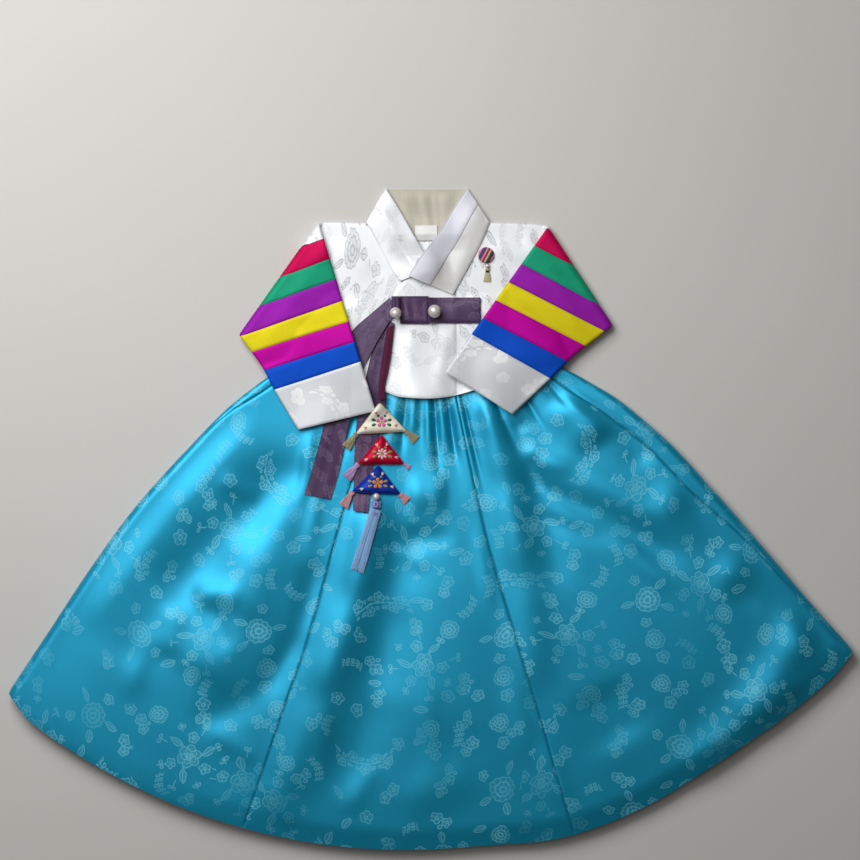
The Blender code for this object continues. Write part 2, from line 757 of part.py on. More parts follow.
class Sleeve:
    """One sleeve: a flattened tube of stripes that goes round a slanting fold and lies back over the front.

    Cloth positions are (p, q): p runs down the fold line, and q across it, away from the jacket's body
    while unfolded. Sleeve positions are (a, b): a runs from the shoulder end to the wrist along the
    shoulder edge, and b across the sleeve from that edge.
    """

    CENTRE = TUBE_HEIGHT + FOLD_ROOM
    RADIUS = FOLD_WIDTH / math.pi

    def __init__(self, side, fold_top, fold_end, axis, stripes):
        self.side = side
        top = np.array(fold_top, float)
        line = np.array(fold_end, float) - top
        self.down = line / np.hypot(*line)
        self.out = np.array([self.down[1], -self.down[0]]) * -side
        self.origin = top - self.out * self.CENTRE
        self.top = top
        self.axis = np.array(axis, float) / np.hypot(*axis)
        self.across = np.array([-self.axis[1], self.axis[0]]) * side
        self.stripes = stripes
        self.length = stripes[-1][1]
        self.lift = None

    def width(self, a):
        """Width of the sleeve."""
        return through(SLEEVE_WIDTHS, self.length - np.asarray(a, float))

    def cloth(self, a, b):
        """(p, q) of a sleeve position."""
        place = self.top + np.multiply.outer(a, self.axis) + np.multiply.outer(b, self.across)
        offset = place - self.origin
        return offset @ self.down, FOLD_WIDTH - offset @ self.out

    def cloth_at(self, x, y):
        """(p, q) of a plan position on the unfolded cloth."""
        offset = np.stack(np.broadcast_arrays(x, y), axis=-1) - self.origin
        return offset @ self.down, offset @ self.out

    def plan(self, p, q):
        """Unfolded plan position of (p, q)."""
        place = self.origin + np.multiply.outer(p, self.down) + np.multiply.outer(q, self.out)
        return place[..., 0], place[..., 1]

    def seam_plan(self, stripe, b, shift):
        """Unfolded plan position on the seam before a stripe, moved along the sleeve by shift."""
        _, start, slant = self.stripes[stripe]
        b = np.asarray(b, float)
        p, q = self.cloth(start + slant * b + shift, b)
        return self.plan(p, q)

    def folded(self, points):
        """Final positions of points given as (p, q, z) on the unfolded cloth."""
        p, q, z = points.T
        reach = self.CENTRE - z
        turn = np.clip(q, 0.0, FOLD_WIDTH) / self.RADIUS
        over = np.maximum(q - FOLD_WIDTH, 0.0)
        out = np.minimum(q, 0.0) + np.where(q > 0, reach * np.sin(turn), 0.0) - over
        x, y = self.plan(p, out)
        height = self.CENTRE - reach * np.cos(turn)
        if self.lift is not None:
            offset = np.stack([x, y], axis=-1) - self.top
            b = offset @ self.across
            a = offset @ self.axis
            width = self.width(a)
            swell = np.sin(math.pi * np.clip(b / width, 0, 1)) * ease((over - 3.0) / 22.0)
            swell = swell * (0.55 + 0.45 * np.sin(math.pi * np.clip(a / self.length, 0, 1)))
            drape = np.maximum(self.lift(x, y) + REST - self.CENTRE - FOLD_ROOM, 0.0)
            height = height + drape * ease(over / 26.0)
            height = height + np.where(over > 0, (reach - FOLD_ROOM) * SLEEVE_PUFF * swell, 0.0)
        return stacked(x, y, height)

    def add(self, name, points, faces, colour, roughness=0.4):
        """Makes a node from unfolded cloth, cut along the fold so that it can bend there."""
        shape = bmesh.new()
        corners = [shape.verts.new(point) for point in np.asarray(points, float)]
        for face in faces:
            shape.faces.new([corners[v] for v in face])
        reach = points[:, 1]
        for step in range(FOLD_CUTS + 1):
            level = FOLD_WIDTH * step / FOLD_CUTS
            if reach.min() < level < reach.max():
                everything = shape.verts[:] + shape.edges[:] + shape.faces[:]
                bmesh.ops.bisect_plane(
                    shape, geom=everything, dist=1e-4, plane_co=(0, level, 0), plane_no=(0, 1, 0)
                )
        bmesh.ops.triangulate(shape, faces=shape.faces[:])
        shape.verts.index_update()
        found = np.array([vertex.co[:] for vertex in shape.verts])
        triangles = [[vertex.index for vertex in face.verts] for face in shape.faces]
        shape.free()
        add_node(name, self.folded(found), triangles, colour, roughness)

    def add_stripes(self):
        """The stripes and the cuff, each a short piece of the tube."""
        self.lift = LAID.rest(14)
        height = TUBE_HEIGHT - JACKET_WALL
        loop = tube_loop(height, 7, 1)
        for k in range(len(self.stripes) - 1):
            name, start, slant = self.stripes[k]
            _, stop, next_slant = self.stripes[k + 1]
            stations = 3 if name == "cuff" else 2
            rows = []
            for t in np.linspace(0, 1, stations):
                gap = SEAM / 2 * (1 - 2 * t)
                a = start + (stop - start) * t + gap
                slope = slant + (next_slant - slant) * t
                width = self.width(a)
                b = height / 2 + JACKET_WALL / 2 + (width - TUBE_HEIGHT) * loop[:, 0] + height / 2 * loop[:, 1]
                p, q = self.cloth(a + slope * b, b)
                rows.append(stacked(p, q, loop[:, 2] + JACKET_WALL / 2))
            points, faces = ring(np.array(rows), JACKET_WALL)
            side = "left" if self.side < 0 else "right"
            colour = "white" if name == "cuff" else name
            self.add(f"sleeve_{side}_{name}", points, faces, colour)


LEFT = Sleeve(-1, (-121.8, 327.0), (-208.7, 203.8), (63.3, -209.0), LEFT_STRIPES)
RIGHT = Sleeve(1, (130.1, 321.5), (203.6, 209.1), (-0.579, -0.815), RIGHT_STRIPES)


def jacket_front_height(under):
    """Height of the middle of the jacket's front sheet, as a function of (x, y)."""

    def height(x, y):
        low = TUBE_HEIGHT - JACKET_WALL / 2
        wanted = under(x, y) + 2 * REST + JACKET_WALL / 2
        free = ease((x + 143.5) / 9.5) * ease((141.0 - x) / 12.0)
        return low + np.maximum(wanted - low, 0.0) * free

    return height


def make_body(front):
    """The two halves of the jacket: each is one cloth that goes from the back over the shoulder."""
    back_rows = np.array([1.0, 0.5, 0.2, 0.09, 0.05, 0.025, 0.0])
    front_rows = np.array([0.0, 0.08, 0.17, 0.26, 0.35, 0.47, 0.58, 0.70, 0.81, 0.91, 1.0])
    turns = np.radians([-45.0, 0.0, 45.0])
    radius = (TUBE_HEIGHT - JACKET_WALL) / 2
    low = JACKET_WALL / 2
    for sleeve, edge in ((LEFT, UNDER_FRONT_EDGE), (RIGHT, OVER_FRONT_EDGE)):
        side = sleeve.side
        top_x, _ = sleeve.seam_plan(0, 0.0, -SEAM)
        foot_x, _ = sleeve.seam_plan(0, 140.0, -SEAM)
        across = np.linspace(0, 1, 8)

        def sheet(rows, inner):
            """Plan of one sheet: rows from the shoulder down, columns from the armhole in."""
            outer = top_x + (foot_x - top_x) * rows
            x = outer[:, None] + (inner - outer)[:, None] * across[None, :]
            top = through(TOP_LINE, x) - radius - low
            return x, top + (jacket_hem_y(x) - top) * rows[:, None]

        centre = side * SEAM / 2
        neck = through(BACK_NECK_EDGE, back_rows)
        bx, by = sheet(back_rows, edge[0][1] + (centre - edge[0][1]) * neck)
        fx, fy = sheet(front_rows, through(edge, front_rows) + side * SEAM / 2)
        arc_x = fx[:1].repeat(3, 0)
        arc_y = fy[:1] + radius * np.cos(turns)[:, None]
        arc_z = np.broadcast_to(low + radius + radius * np.sin(turns)[:, None], arc_x.shape)
        x = np.concatenate([bx, arc_x, fx])
        y = np.concatenate([by, arc_y, fy])
        z = np.concatenate([np.full(bx.shape, low), arc_z, front(fx, fy)])
        p, q = sleeve.cloth_at(x, y)
        mid = stacked(p, q, z)
        points, faces = wall(mid, JACKET_WALL)
        name = "jacket_half_under" if side < 0 else "jacket_half_over"
        sleeve.add(name, points, faces, "white")


def make_overlap(front):
    """The extra width sewn to the overlapping front."""
    rows = np.linspace(0, 1, 9)[:, None]
    across = np.linspace(0, 1, 8)[None, :]
    right = OVER_FRONT_EDGE[-1][1] - SEAM / 2
    low_left = OVERLAP_EDGE[0][1]
    x_hem = low_left + (right - low_left) * across
    y_top = 271.0 + (253.0 - 271.0) * across
    y = y_top + (jacket_hem_y(x_hem) - y_top) * rows
    left = through(OVERLAP_EDGE, y)
    x = left + (right - left) * across
    z = front(x, y) + OVERLAP_STEP * ease((14.0 - x) / 32.0)
    add_wall("jacket_overlap", stacked(x, y, z), JACKET_WALL, "white")


def strip(rows, shares, across):
    """Plan grid between two edges that are given in rows of (share, outer x, y, inner x, y)."""
    edges = through(rows, shares)
    outer = edges[:, None, 0:2]
    inner = edges[:, None, 2:4]
    grid = outer + (inner - outer) * np.asarray(across)[None, :, None]
    return grid[..., 0], grid[..., 1]


def make_collar():
    """Neck lining, blank label, and the two collar strips with their white trim."""
    shares = np.linspace(0, 1, 6)
    edges = through(NECK_LINING, shares)
    across = np.linspace(0, 1, 12)
    x = edges[:, :1] + (edges[:, 1:2] - edges[:, :1]) * across[None, :]
    y = np.broadcast_to(edges[:, 2:], x.shape)
    folds = 2.4 * np.exp(-(((x + 3.0 + 0.18 * (y - 330)) / 5.0) ** 2)) + 1.9 * np.exp(-(((x - 17) / 6.0) ** 2))
    folds = folds + 1.8 * np.exp(-(((x + 24.0) / 6.0) ** 2))
    ground = LAID.rest(8)(x, y)
    ground = ground + REST * ease(ground)
    z = ground + COLLAR_WALL / 2 + folds * ease((361.5 - y) / 12.0)
    add_wall("collar_back", stacked(x, y, z), COLLAR_WALL, "cream")

    place = LAID.rest(3)
    x = np.linspace(-16.0, 8.0, 5)[None, :] + np.zeros((4, 1))
    y = np.linspace(322.0, 305.5, 4)[:, None] + 0.02 * x
    z = place(x, y) + REST + TRIM_WALL / 2
    add_wall("neck_label", stacked(x, y, z), TRIM_WALL, "white")

    across = np.array([0.0, 0.25, 0.52, 0.68, 0.84, 1.0])
    for rows, name in ((UNDER_COLLAR, "under"), (OVER_COLLAR, "over")):
        shares = np.array([0.0, 0.07, 0.16, 0.3, 0.47, 0.65, 0.83, 1.0])
        x, y = strip(rows, shares, across)
        place = LAID.rest(8)
        swell = 0.9 * np.sin(math.pi * across)[None, :] * ease(shares / 0.15)[:, None]
        mid = stacked(x, y, place(x, y) + 2 * REST + COLLAR_WALL / 2 + swell)
        mid = mid if name == "over" else mid[:, ::-1]
        normal = grid_normals(mid)
        normal = normal * np.sign(normal[..., 2:])
        cross = flatter_diagonals(mid)
        add_wall(f"collar_{name}", mid, COLLAR_WALL, "white", normal, cross=cross)
        keep = slice(2, None) if name == "over" else slice(0, 4)
        above = COLLAR_WALL / 2 + REST + TRIM_WALL / 2
        trim = (mid + normal * above)[:, keep]
        first = keep.start or 0
        cross = cross[:, first : first + trim.shape[1] - 1]
        add_wall(f"collar_trim_{name}", trim, TRIM_WALL, "trim", normal[:, keep], cross=cross)


# ---------------------------------------------------------------- ribbons, charms, pin


def laid_strip(name, rows, colour, wall_height=RIBBON_WALL, reach=8, per_row=2, columns=4):
    """A ribbon that lies on what is under it."""
    table = np.array(rows, float)
    keyed = np.column_stack([np.linspace(0, 1, len(table)), table])
    shares = np.linspace(0, 1, (len(table) - 1) * per_row + 1)
    x, y = strip(keyed, shares, np.linspace(0, 1, columns))
    z = LAID.rest(reach)(x, y) + REST + wall_height / 2
    add_wall(name, stacked(x, y, z), wall_height, colour)


def box_grid(left, right, low, high, columns, rows):
    """Plan grid of a rectangle."""
    x = np.linspace(left, right, columns)[None, :] + np.zeros((rows, 1))
    y = np.linspace(high, low, rows)[:, None] + np.zeros((1, columns))
    return x, y


def pad(name, x, y, height, colour, rest, edge=0.8):
    """A soft block over a plan grid: flat below, swelling above, laid on what is under it."""
    rows, columns = x.shape
    u = np.linspace(-1, 1, columns)[None, :]
    v = np.linspace(-1, 1, rows)[:, None]
    swell = np.sqrt(np.clip((1 - u**4) * (1 - v**4), 0, 1))
    floor = rest(x, y) + REST
    thick = edge + (height - edge) * swell
    mid = stacked(x, y, floor + thick / 2)
    up = np.zeros(mid.shape)
    up[..., 2] = 1.0
    add_wall(name, mid, thick, colour, up)


def ball(name, x, y, radius, colour, rest, above=1.0, steps=12):
    """A ball that rests on what is under it, cut flat at its seat when above is under 1."""
    rings = max(5, int(steps * 0.6))
    low = -1.0 + 2 * (1 - above)
    levels = np.linspace(math.asin(low) if low > -1 else -math.pi / 2, math.pi / 2, rings)
    seat = float(rest(x, y)) + REST
    middle = seat - radius * low
    points = []
    faces = []
    turned = [2 * math.pi * k / steps for k in range(steps)]
    body = levels[:-1] if low > -1 else levels[1:-1]
    for level in body:
        for turn in turned:
            flat = radius * math.cos(level)
            points.append((x + flat * math.cos(turn), y + flat * math.sin(turn), middle + radius * math.sin(level)))
    count = len(body)
    for i in range(count - 1):
        for k in range(steps):
            n = (k + 1) % steps
            faces.append((i * steps + k, i * steps + n, (i + 1) * steps + n, (i + 1) * steps + k))
    points.append((x, y, middle + radius))
    top = len(points) - 1
    faces += [((count - 1) * steps + k, (count - 1) * steps + (k + 1) % steps, top) for k in range(steps)]
    if low > -1:
        faces.append(tuple(range(steps - 1, -1, -1)))
    else:
        points.append((x, y, middle - radius))
        faces += [((k + 1) % steps, k, top + 1) for k in range(steps)]
    add_node(name, np.array(points), faces, colour, 0.2)


def charm_corner(corner, k):
    """Start, tip and end of the rounding of one corner of a charm."""
    here = corner[k]
    start = here + (corner[(k + 2) % 3] - here) * CORNER_ROUND
    end = here + (corner[(k + 1) % 3] - here) * CORNER_ROUND
    return start, 0.25 * start + 0.5 * here + 0.25 * end, end


def charm(name, corners, colour, rest):
    """A padded triangle with softly rounded corners."""
    corner = np.array(corners, float).reshape(3, 2)
    centre = corner.mean(axis=0)
    outline = []
    for k in range(3):
        start, tip, end = charm_corner(corner, k)
        following = charm_corner(corner, (k + 1) % 3)[0]
        outline += [start, tip, end]
        outline += [end + (following - end) * t for t in (0.2, 0.4, 0.6, 0.8)]
    outline = np.array(outline)
    count = len(outline)
    rings = ((1.0, 0.22), (0.93, 0.52), (0.74, 0.80), (0.42, 0.97))
    points = []
    for share, up in rings:
        place = centre + (outline - centre) * share
        points += [(px, py, rest(px, py) + REST + CHARM_HEIGHT * up) for px, py in place]
    points.append((*centre, rest(*centre) + REST + CHARM_HEIGHT))
    top = len(points) - 1
    for share in (0.97, 0.6):
        place = centre + (outline - centre) * share
        points += [(px, py, rest(px, py) + REST) for px, py in place]
    points.append((*centre, rest(*centre) + REST))
    bottom = len(points) - 1
    faces = []
    for k in range(count):
        n = (k + 1) % count
        for i in range(len(rings) - 1):
            faces.append((i * count + k, i * count + n, (i + 1) * count + n, (i + 1) * count + k))
        last = (len(rings) - 1) * count
        faces.append((last + k, last + n, top))
        first = top + 1
        faces.append((first + n, first + k, first + count + k, first + count + n))
        faces.append((n, k, first + k, first + n))
        faces.append((first + count + n, first + count + k, bottom))
    add_node(name, np.array(points), faces, colour, 0.5)


def tassel(name, root, heading, length, colour, rest, across=4, width=5.0, depth=2.6, segments=1, flare=0.5):
    """A bound head with loose locks of silk, laid on what is under it."""
    deep = 2
    head = min(0.28 * length, 7.0)
    turn = math.radians(heading)
    points = []
    faces = []

    def add(px, py, pz):
        points.append((px, py, pz))
        return len(points) - 1

    def node(i, j, grow):
        return ((i / across - 0.5) * width * grow, j / deep * depth)

    rim = [(i, 0) for i in range(across)] + [(across, j) for j in range(deep)]
    rim += [(i, deep) for i in range(across, 0, -1)] + [(0, j) for j in range(deep, 0, -1)]
    loops = []
    for x, grow, tall in ((0.0, 0.35, 0.5), (0.3 * head, 1.0, 1.0), (0.72 * head, 0.72, 0.9), (head, 1.0, 1.0)):
        loop = []
        for i, j in rim:
            side, up = node(i, j, grow)
            loop.append(add(x, side, up * tall))
        loops.append(loop)
    for first, second in zip(loops, loops[1:]):
        for k in range(len(rim)):
            n = (k + 1) % len(rim)
            faces.append((first[k], first[n], second[n], second[k]))
    faces.append(tuple(loops[0][::-1]))
    grid = dict(zip(rim, loops[-1]))
    for i in range(1, across):
        for j in range(1, deep):
            side, up = node(i, j, 1.0)
            grid[i, j] = add(head, side, up)
    for i in range(across):
        for j in range(deep):
            cell = [grid[i, j], grid[i + 1, j], grid[i + 1, j + 1], grid[i, j + 1]]
            base = np.array([points[v] for v in cell])
            middle = base.mean(axis=0)
            previous = cell
            reach = length * (1.0 - 0.05 * ((i * 5 + j * 3) % 4))
            for k in range(segments + 1):
                t = k / segments
                size = 0.72 - 0.18 * t
                shift = np.array([
                    (reach - head) * t,
                    middle[1] * flare * t + 0.25 * math.sin(3.0 * t + 1.7 * i) * t,
                    (0.22 * j - 0.05) * depth * 0.2 * math.sin(2.5 * t),
                ])
                corner = [middle + shift + (b - middle) * size for b in base]
                current = [add(*c) for c in corner]
                for m in range(4):
                    n = (m + 1) % 4
                    faces.append((previous[m], previous[n], current[n], current[m]))
                previous = current
            faces.append(tuple(previous))
    local = np.array(points)
    x = root[0] + local[:, 0] * math.cos(turn) - local[:, 1] * math.sin(turn)
    y = root[1] + local[:, 0] * math.sin(turn) + local[:, 1] * math.cos(turn)
    z = rest(x, y) + REST + local[:, 2]
    add_node(name, stacked(x, y, z), faces, colour, 0.6)


def disc(name, x, y, radius, height, colour, rest, steps=20):
    """A low round button with a rounded rim."""
    seat = float(rest(x, y)) + REST
    rings = ((0.92, 0.0), (1.0, 0.4), (0.86, 0.86), (0.5, 1.0))
    points = []
    faces = []
    for share, up in rings:
        for k in range(steps):
            turn = 2 * math.pi * k / steps
            points.append((x + radius * share * math.cos(turn), y + radius * share * math.sin(turn), seat + height * up))
    for i in range(len(rings) - 1):
        for k in range(steps):
            n = (k + 1) % steps
            faces.append((i * steps + k, i * steps + n, (i + 1) * steps + n, (i + 1) * steps + k))
    faces.append(tuple(range(steps - 1, -1, -1)))
    faces.append(tuple((len(rings) - 1) * steps + k for k in range(steps)))
    add_node(name, np.array(points), faces, colour, 0.5)


def make_ribbons():
    """The tied ribbons with their crosswise bow, and the two pearls on it."""
    laid_strip("ribbon_long", LONG_RIBBON, "plum")
    laid_strip("ribbon_long_lining", RIBBON_LINING, "wine", wall_height=TRIM_WALL, columns=3, per_row=2)
    laid_strip("ribbon_short", SHORT_RIBBON, "plum")
    for name, (left, right, low, high, extra) in zip(("bow_near", "bow_far"), BOW_BAND):
        x, y = box_grid(left, right, low, high, 6 if extra > 1 else 8, 6)
        pad(name, x, y, 2.2 + extra, "plum", LAID.rest(4))
    left, right, low, high = KNOT_BOX
    x, y = box_grid(left, right, low, high, 6, 6)
    pad("bow_knot", x, y, 5.0, "plum", LAID.rest(3))
    for name, px, py, radius, above in PEARLS:
        ball(name, px, py, radius, "pearl", LAID.rest(2), above, 14)


def make_charms():
    """Three padded triangles, their corner tassels, and the pearl, knot and long tassel below."""
    under = LAID.rest(4)
    corners = {name: np.array(place, float).reshape(3, 2) for name, *place in CHARMS}
    for name, corner in corners.items():
        charm(name, corner, {"charm_cream": "cream", "charm_red": "red", "charm_blue": "blue"}[name], under)
    for name, held_by, k, heading, length in CORNER_TASSELS:
        kind = name.split("_")[1]
        tip = charm_corner(corners[held_by], k)[1]
        away = np.array([math.cos(math.radians(heading)), math.sin(math.radians(heading))])
        small = length < 12
        tassel(
            name, tip + away * SEAM, heading, length, "olive" if kind == "cream" else kind, under,
            across=3 if small else 4, width=3.4 if small else 5.4,
        )
    ball("charm_pearl", *CHARM_PEARL, "pearl", under, 0.95, 10)
    x, y, half_width, half_height = CHARM_KNOT
    gx, gy = box_grid(x - half_width, x + half_width, y - half_height, y + half_height, 6, 6)
    pad("charm_knot", gx, gy, 5.4, "lilac", under, edge=1.4)
    px, py, heading, length = LONG_TASSEL
    tassel(
        "tassel_long", (px, py), heading, length, "pale_blue", under,
        across=8, width=11.5, depth=4.2, segments=3, flare=0.36,
    )


def make_pin():
    """The round striped pin on the chest with its bead and tassel."""
    under = LAID.rest(4)
    x, y, radius, height = PIN
    disc("pin_disc", x, y, radius, height, "wine", under)
    ball("pin_bead", *PIN_BEAD, "cream", under, 0.95, 10)
    px, py, heading, length = PIN_TASSEL
    tassel("pin_tassel", (px, py), heading, length, "olive", under)


def main():
    """Builds the garment from the floor up."""
    for old in list(bpy.data.objects):
        bpy.data.objects.remove(old, do_unlink=True)
    make_skirt()
    front = jacket_front_height(LAID.rest(14))
    make_body(front)
    make_overlap(front)
    make_collar()
    make_ribbons()
    make_pin()
    LEFT.add_stripes()
    RIGHT.add_stripes()
    make_charms()


main()
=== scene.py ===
"""Looks of a small child's hanbok laid flat: gathered skirt, short jacket, striped sleeves, ribbons, charms.

Lengths are millimetres in the garment's own frame until a mesh is made: the garment lies on z = 0, hem towards
-Y, neck towards +Y. The skirt is a fan about one point: an angle is measured from -Y towards +X.
"""

import logging
import math
from collections.abc import Callable, Sequence
from dataclasses import dataclass, replace
from enum import Enum

import bpy
import numpy as np
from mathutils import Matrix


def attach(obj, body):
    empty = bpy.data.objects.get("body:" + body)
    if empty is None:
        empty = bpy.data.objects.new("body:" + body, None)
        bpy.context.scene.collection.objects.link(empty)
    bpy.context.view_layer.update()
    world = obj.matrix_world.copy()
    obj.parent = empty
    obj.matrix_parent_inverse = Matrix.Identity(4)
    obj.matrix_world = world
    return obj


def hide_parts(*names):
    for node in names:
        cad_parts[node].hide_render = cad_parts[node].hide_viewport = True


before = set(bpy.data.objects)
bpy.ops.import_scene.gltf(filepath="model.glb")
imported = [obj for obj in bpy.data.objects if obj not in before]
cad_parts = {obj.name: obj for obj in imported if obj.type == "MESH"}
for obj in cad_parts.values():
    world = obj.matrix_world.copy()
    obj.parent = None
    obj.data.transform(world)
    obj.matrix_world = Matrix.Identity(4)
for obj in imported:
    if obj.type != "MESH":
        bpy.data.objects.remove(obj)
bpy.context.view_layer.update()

LOG = logging.getLogger("hanbok")
MM = 0.001
CORNER_ROUND = 0.06  # share of a charm's side that the curve at its corner takes
M2_TO_CM2 = 10000
CENTRE_X = 1.178  # the solids' middle, in the tables' coordinates
CENTRE_Y = 0.089
REST = 0.3  # gap between a piece and what it lies on
SEAM = 0.3  # gap between two pieces sewn together

TUBE_HEIGHT = 5.6  # of a folded sleeve at its edges
JACKET_WALL = 1.4  # thickness of the jacket's solids, whose middle the cloth follows
TRIM_WALL = 1.0  # the same for the collar's trim and the label
RIBBON_WALL = 1.1  # the same for the ribbons
BALL_CUT = 0.86  # a pearl is cut flat this share of its radius below its middle
JACKET_HEM = (
    # x, y of the jacket's lower edge
    (-144, 185), (-120, 167), (-84, 150), (-50, 139.6), (-32.7, 133.4), (-2.4, 131.6), (19, 133.4),
    (46.5, 140), (90, 155), (142, 180.4),
)

# The stripes of the sleeves, each of which is folded over the front of the jacket along one slanting line
LEFT_STRIPES = (
    # name, start along the shoulder edge, slant of that seam
    ("red", 21.0, 0.060), ("green", 44.0, 0.062), ("purple", 67.0, 0.052), ("yellow", 92.0, 0.043),
    ("magenta", 115.8, 0.012), ("blue", 139.1, 0.008), ("cuff", 161.8, 0.020), ("end", 218.4, -0.058),
)
RIGHT_STRIPES = (
    ("red", 4.0, -0.147), ("green", 27.0, -0.135), ("purple", 51.5, -0.125), ("yellow", 76.0, -0.145),
    ("magenta", 100.5, -0.147), ("blue", 124.4, -0.142), ("cuff", 146.2, -0.106), ("end", 196.8, -0.057),
)

Array = np.ndarray
Material = bpy.types.Material
Tree = bpy.types.NodeTree
Socket = bpy.types.NodeSocket
Faces = list[list[int]]
Rows = Sequence[tuple[float, ...]]
Height = Callable[[Array, Array], Array]


class Held(Enum):
    """How a sheet of cloth is held."""

    LAID = "laid"
    GATHERED = "gathered"
    FOLDED = "folded"


@dataclass(frozen=True)
class Cut:
    """The flat cut of a sheet of cloth, in millimetres, and what it lies on."""

    width: float
    length: float
    held: Held
    rests_on: tuple[str, ...]
    area: float | None = None

    def declare(self, piece: bpy.types.Object) -> None:
        """Works out the cut's area in square metres and the other pieces it rests on, but states nothing."""
        area = None if self.area is None else self.area * MM * MM
        rests = [name for name in self.rests_on if name != piece.name]
        self.width * MM


# ---------------------------------------------------------------- numbers


def ease(value: Array) -> Array:
    """0 below 0, 1 above 1, smooth between."""
    t = np.clip(value, 0.0, 1.0)
    return t * t * (3.0 - 2.0 * t)


def through(rows: Rows, at: Array) -> Array:
    """Reads a smooth curve through a table, which never swings past its rows.

    Args:
        rows: the table, each row a key and its values.
        at: the keys to read it at.

    Returns:
        The values there, with one more axis if a row holds several.
    """
    table = np.array(rows, float)
    keys, values = table[:, 0], table[:, 1:]
    rise = np.diff(values, axis=0) / np.diff(keys)[:, None]
    same = rise[1:] * rise[:-1] > 0
    mean = 2 * rise[1:] * rise[:-1] / np.where(same, rise[1:] + rise[:-1], 1.0)
    slope = np.concatenate([rise[:1], np.where(same, mean, 0.0), rise[-1:]])
    at = np.clip(np.asarray(at, float), keys[0], keys[-1])
    i = np.clip(np.searchsorted(keys, at, side="right") - 1, 0, len(keys) - 2)
    step = keys[i + 1] - keys[i]
    t = ((at - keys[i]) / step)[..., None]
    step = step[..., None]
    found = (2 * t**3 - 3 * t**2 + 1) * values[i] + (t**3 - 2 * t**2 + t) * step * slope[i]
    found = found + (3 * t**2 - 2 * t**3) * values[i + 1] + (t**3 - t**2) * step * slope[i + 1]
    return found if found.shape[-1] > 1 else found[..., 0]


def stacked(x: Array, y: Array, z: Array) -> Array:
    """One array of points from three that broadcast together."""
    return np.stack(np.broadcast_arrays(x, y, z), axis=-1).astype(float)


def ridges(x: Array, y: Array, rows: Rows) -> Array:
    """Sum of soft ridges and troughs, each with a rounded back that dies away at both ends.

    Args:
        x: places across.
        y: places up.
        rows: each ridge's start x, start y, end x, end y, half width and height.

    Returns:
        The height at each place.
    """
    total = np.zeros(np.broadcast(x, y).shape)
    for x0, y0, x1, y1, width, height in rows:
        run = np.array([x1 - x0, y1 - y0], float)
        along = ((x - x0) * run[0] + (y - y0) * run[1]) / (run @ run)
        apart = np.hypot(x - x0 - along * run[0], y - y0 - along * run[1])
        total += height * np.exp(-((apart / width) ** 2) - (2 * along - 1) ** 4)
    return total


def edged(count: int, length: float) -> Array:
    """Shares from 0 to 1, with a few more close to both edges, where a seam rolls under.

    Args:
        count: how many evenly spaced shares.
        length: the length from 0 to 1 in millimetres.

    Returns:
        The shares in rising order.
    """
    near = np.array([0.5, 1.1, 1.9]) / length
    base = np.linspace(0, 1, count)
    base = base[(base > 2.6 / length) & (base < 1 - 2.6 / length)]
    return np.concatenate([[0.0], near, base, 1 - near[::-1], [1.0]])


def grid_normals(mid: Array) -> Array:
    """Normals of a grid of points, from the mean direction of the edges that meet at each.

    Args:
        mid: the grid.

    Returns:
        A unit vector for each point.
    """
    found = []
    for axis in (0, 1):
        step = np.diff(mid, axis=axis)
        step = step / np.maximum(np.linalg.norm(step, axis=-1, keepdims=True), 1e-9)
        first = np.take(step, [0], axis=axis)
        last = np.take(step, [-1], axis=axis)
        found.append(np.concatenate([first, step], axis) + np.concatenate([step, last], axis))
    normal = np.cross(found[0], found[1])
    return normal / np.maximum(np.linalg.norm(normal, axis=-1, keepdims=True), 1e-9)


def travelled(points: Array, axis: int = 0) -> Array:
    """Length from the first point of each line along an axis."""
    steps = np.linalg.norm(np.diff(points, axis=axis), axis=-1)
    return np.insert(np.cumsum(steps, axis=axis), 0, 0.0, axis=axis)


def grid_lengths(mid: Array) -> tuple[Array, Array]:
    """Length across each row from its middle, and down each column from its top."""
    across = travelled(mid, 1)
    return across - across[:, mid.shape[1] // 2][:, None], travelled(mid)


def rolled(mid: Array, normal: Array, sides: str, depth: float = 0.8, reach: float = 1.2) -> Array:
    """Turns the edges of a cloth under.

    Args:
        mid: its grid of points.
        normal: their normals.
        sides: any of "t", "b", "l" and "r": first row, last row, first column, last column.
        depth: how far the edge goes under.
        reach: how wide the turn is.

    Returns:
        The new points.
    """
    far = {
        "l": travelled(mid, 1),
        "r": travelled(mid[:, ::-1], 1)[:, ::-1],
        "t": travelled(mid),
        "b": travelled(mid[::-1])[::-1],
    }
    under = sum(np.exp(-((far[side] / reach) ** 2)) for side in sides)
    return mid - normal * (depth * np.minimum(under, 1.0))[..., None]


